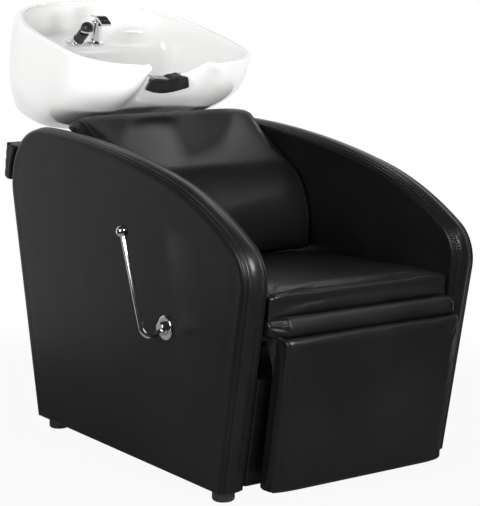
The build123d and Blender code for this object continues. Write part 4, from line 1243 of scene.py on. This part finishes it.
def make_world():
    """White behind the object, and darker where the studio's open side is reflected."""
    world = bpy.data.worlds.new("studio")
    bpy.context.scene.world = world
    world.use_nodes = True
    f = Finish("studio", world.node_tree)
    ray = f.node("ShaderNodeTexCoord").outputs["Generated"]

    def along(way):
        settings = {"operation": "DOT_PRODUCT"}
        return f.read("ShaderNodeVectorMath", settings, {0: ray, 1: way}, "Value")

    towards = along((0.6, 0.8, 0.0))
    upward = along((0.0, 0.0, 1.0))
    backdrop = towards.between(0.22, 0.6) * (1 - upward.between(0.46, 0.62)) * 0.97 + 0.03
    path = f.node("ShaderNodeLightPath").outputs
    camera = Number(f, path["Is Camera Ray"])
    glossy = Number(f, path["Is Glossy Ray"]).most(Number(f, path["Is Transmission Ray"]))
    other = 1 - camera.most(glossy)
    strength = camera + glossy * (1 - camera) * backdrop + other * WORLD_LEVEL
    white = {"Color": (1.0, 1.0, 1.0, 1.0), "Strength": strength}
    shade = f.node("ShaderNodeBackground", None, white)
    f.node("ShaderNodeOutputWorld", None, {"Surface": shade.outputs[0]})


def add_lamp(name, place, target, width, height, power, mirrored, spread):
    """A soft lamp; one that isn't mirrored lights the object but isn't seen in it."""
    lamp = bpy.data.lights.new(name, "AREA")
    lamp.shape = "RECTANGLE"
    lamp.size = width
    lamp.size_y = height
    lamp.energy = power
    lamp.spread = np.radians(spread)
    obj = bpy.data.objects.new(name, lamp)
    obj.location = place
    obj.rotation_euler = (Vector(target) - Vector(place)).to_track_quat("-Z", "Y").to_euler()
    obj.visible_glossy = mirrored
    bpy.context.scene.collection.objects.link(obj)


def make_lamps():
    for lamp in LAMPS:
        add_lamp(*lamp)


def make_camera():
    """The photograph's view, solved from the object's edges."""
    camera = bpy.data.cameras.new("photo_view")
    camera.sensor_width = SENSOR
    camera.lens = FOCAL_PIXELS * SENSOR / PHOTO_SIDE
    camera.shift_x = SHIFT_PIXELS[0] / PHOTO_SIDE
    camera.shift_y = SHIFT_PIXELS[1] / PHOTO_SIDE
    camera.clip_start = 0.1
    camera.clip_end = 60.0
    obj = bpy.data.objects.new("photo_view", camera)
    obj.location = CAMERA_PLACE
    obj.rotation_euler = (math.radians(90.0 - CAMERA_DIP), 0.0, math.radians(CAMERA_TURN))
    bpy.context.scene.collection.objects.link(obj)
    bpy.context.scene.camera = obj


bpy.context.scene.view_settings.view_transform = "Standard"
make_camera()
make_world()
make_lamps()
make_floor()
finishes = make_finishes()
dress_frame(finishes)
stitches = stitch_tree()
for side, sign in (("left", -1), ("right", 1)):
    make_panel(side, sign, finishes, stitches)
make_seat(finishes, stitches)
make_roll(finishes)
make_roll_ends(finishes)
make_back(finishes, stitches)
make_leg_pad(finishes, stitches)
for node, name, voxel in COVERED_BOARDS:
    covered_board(node, name, finishes, voxel)
make_bowl(finishes)
make_neck_pad(finishes)
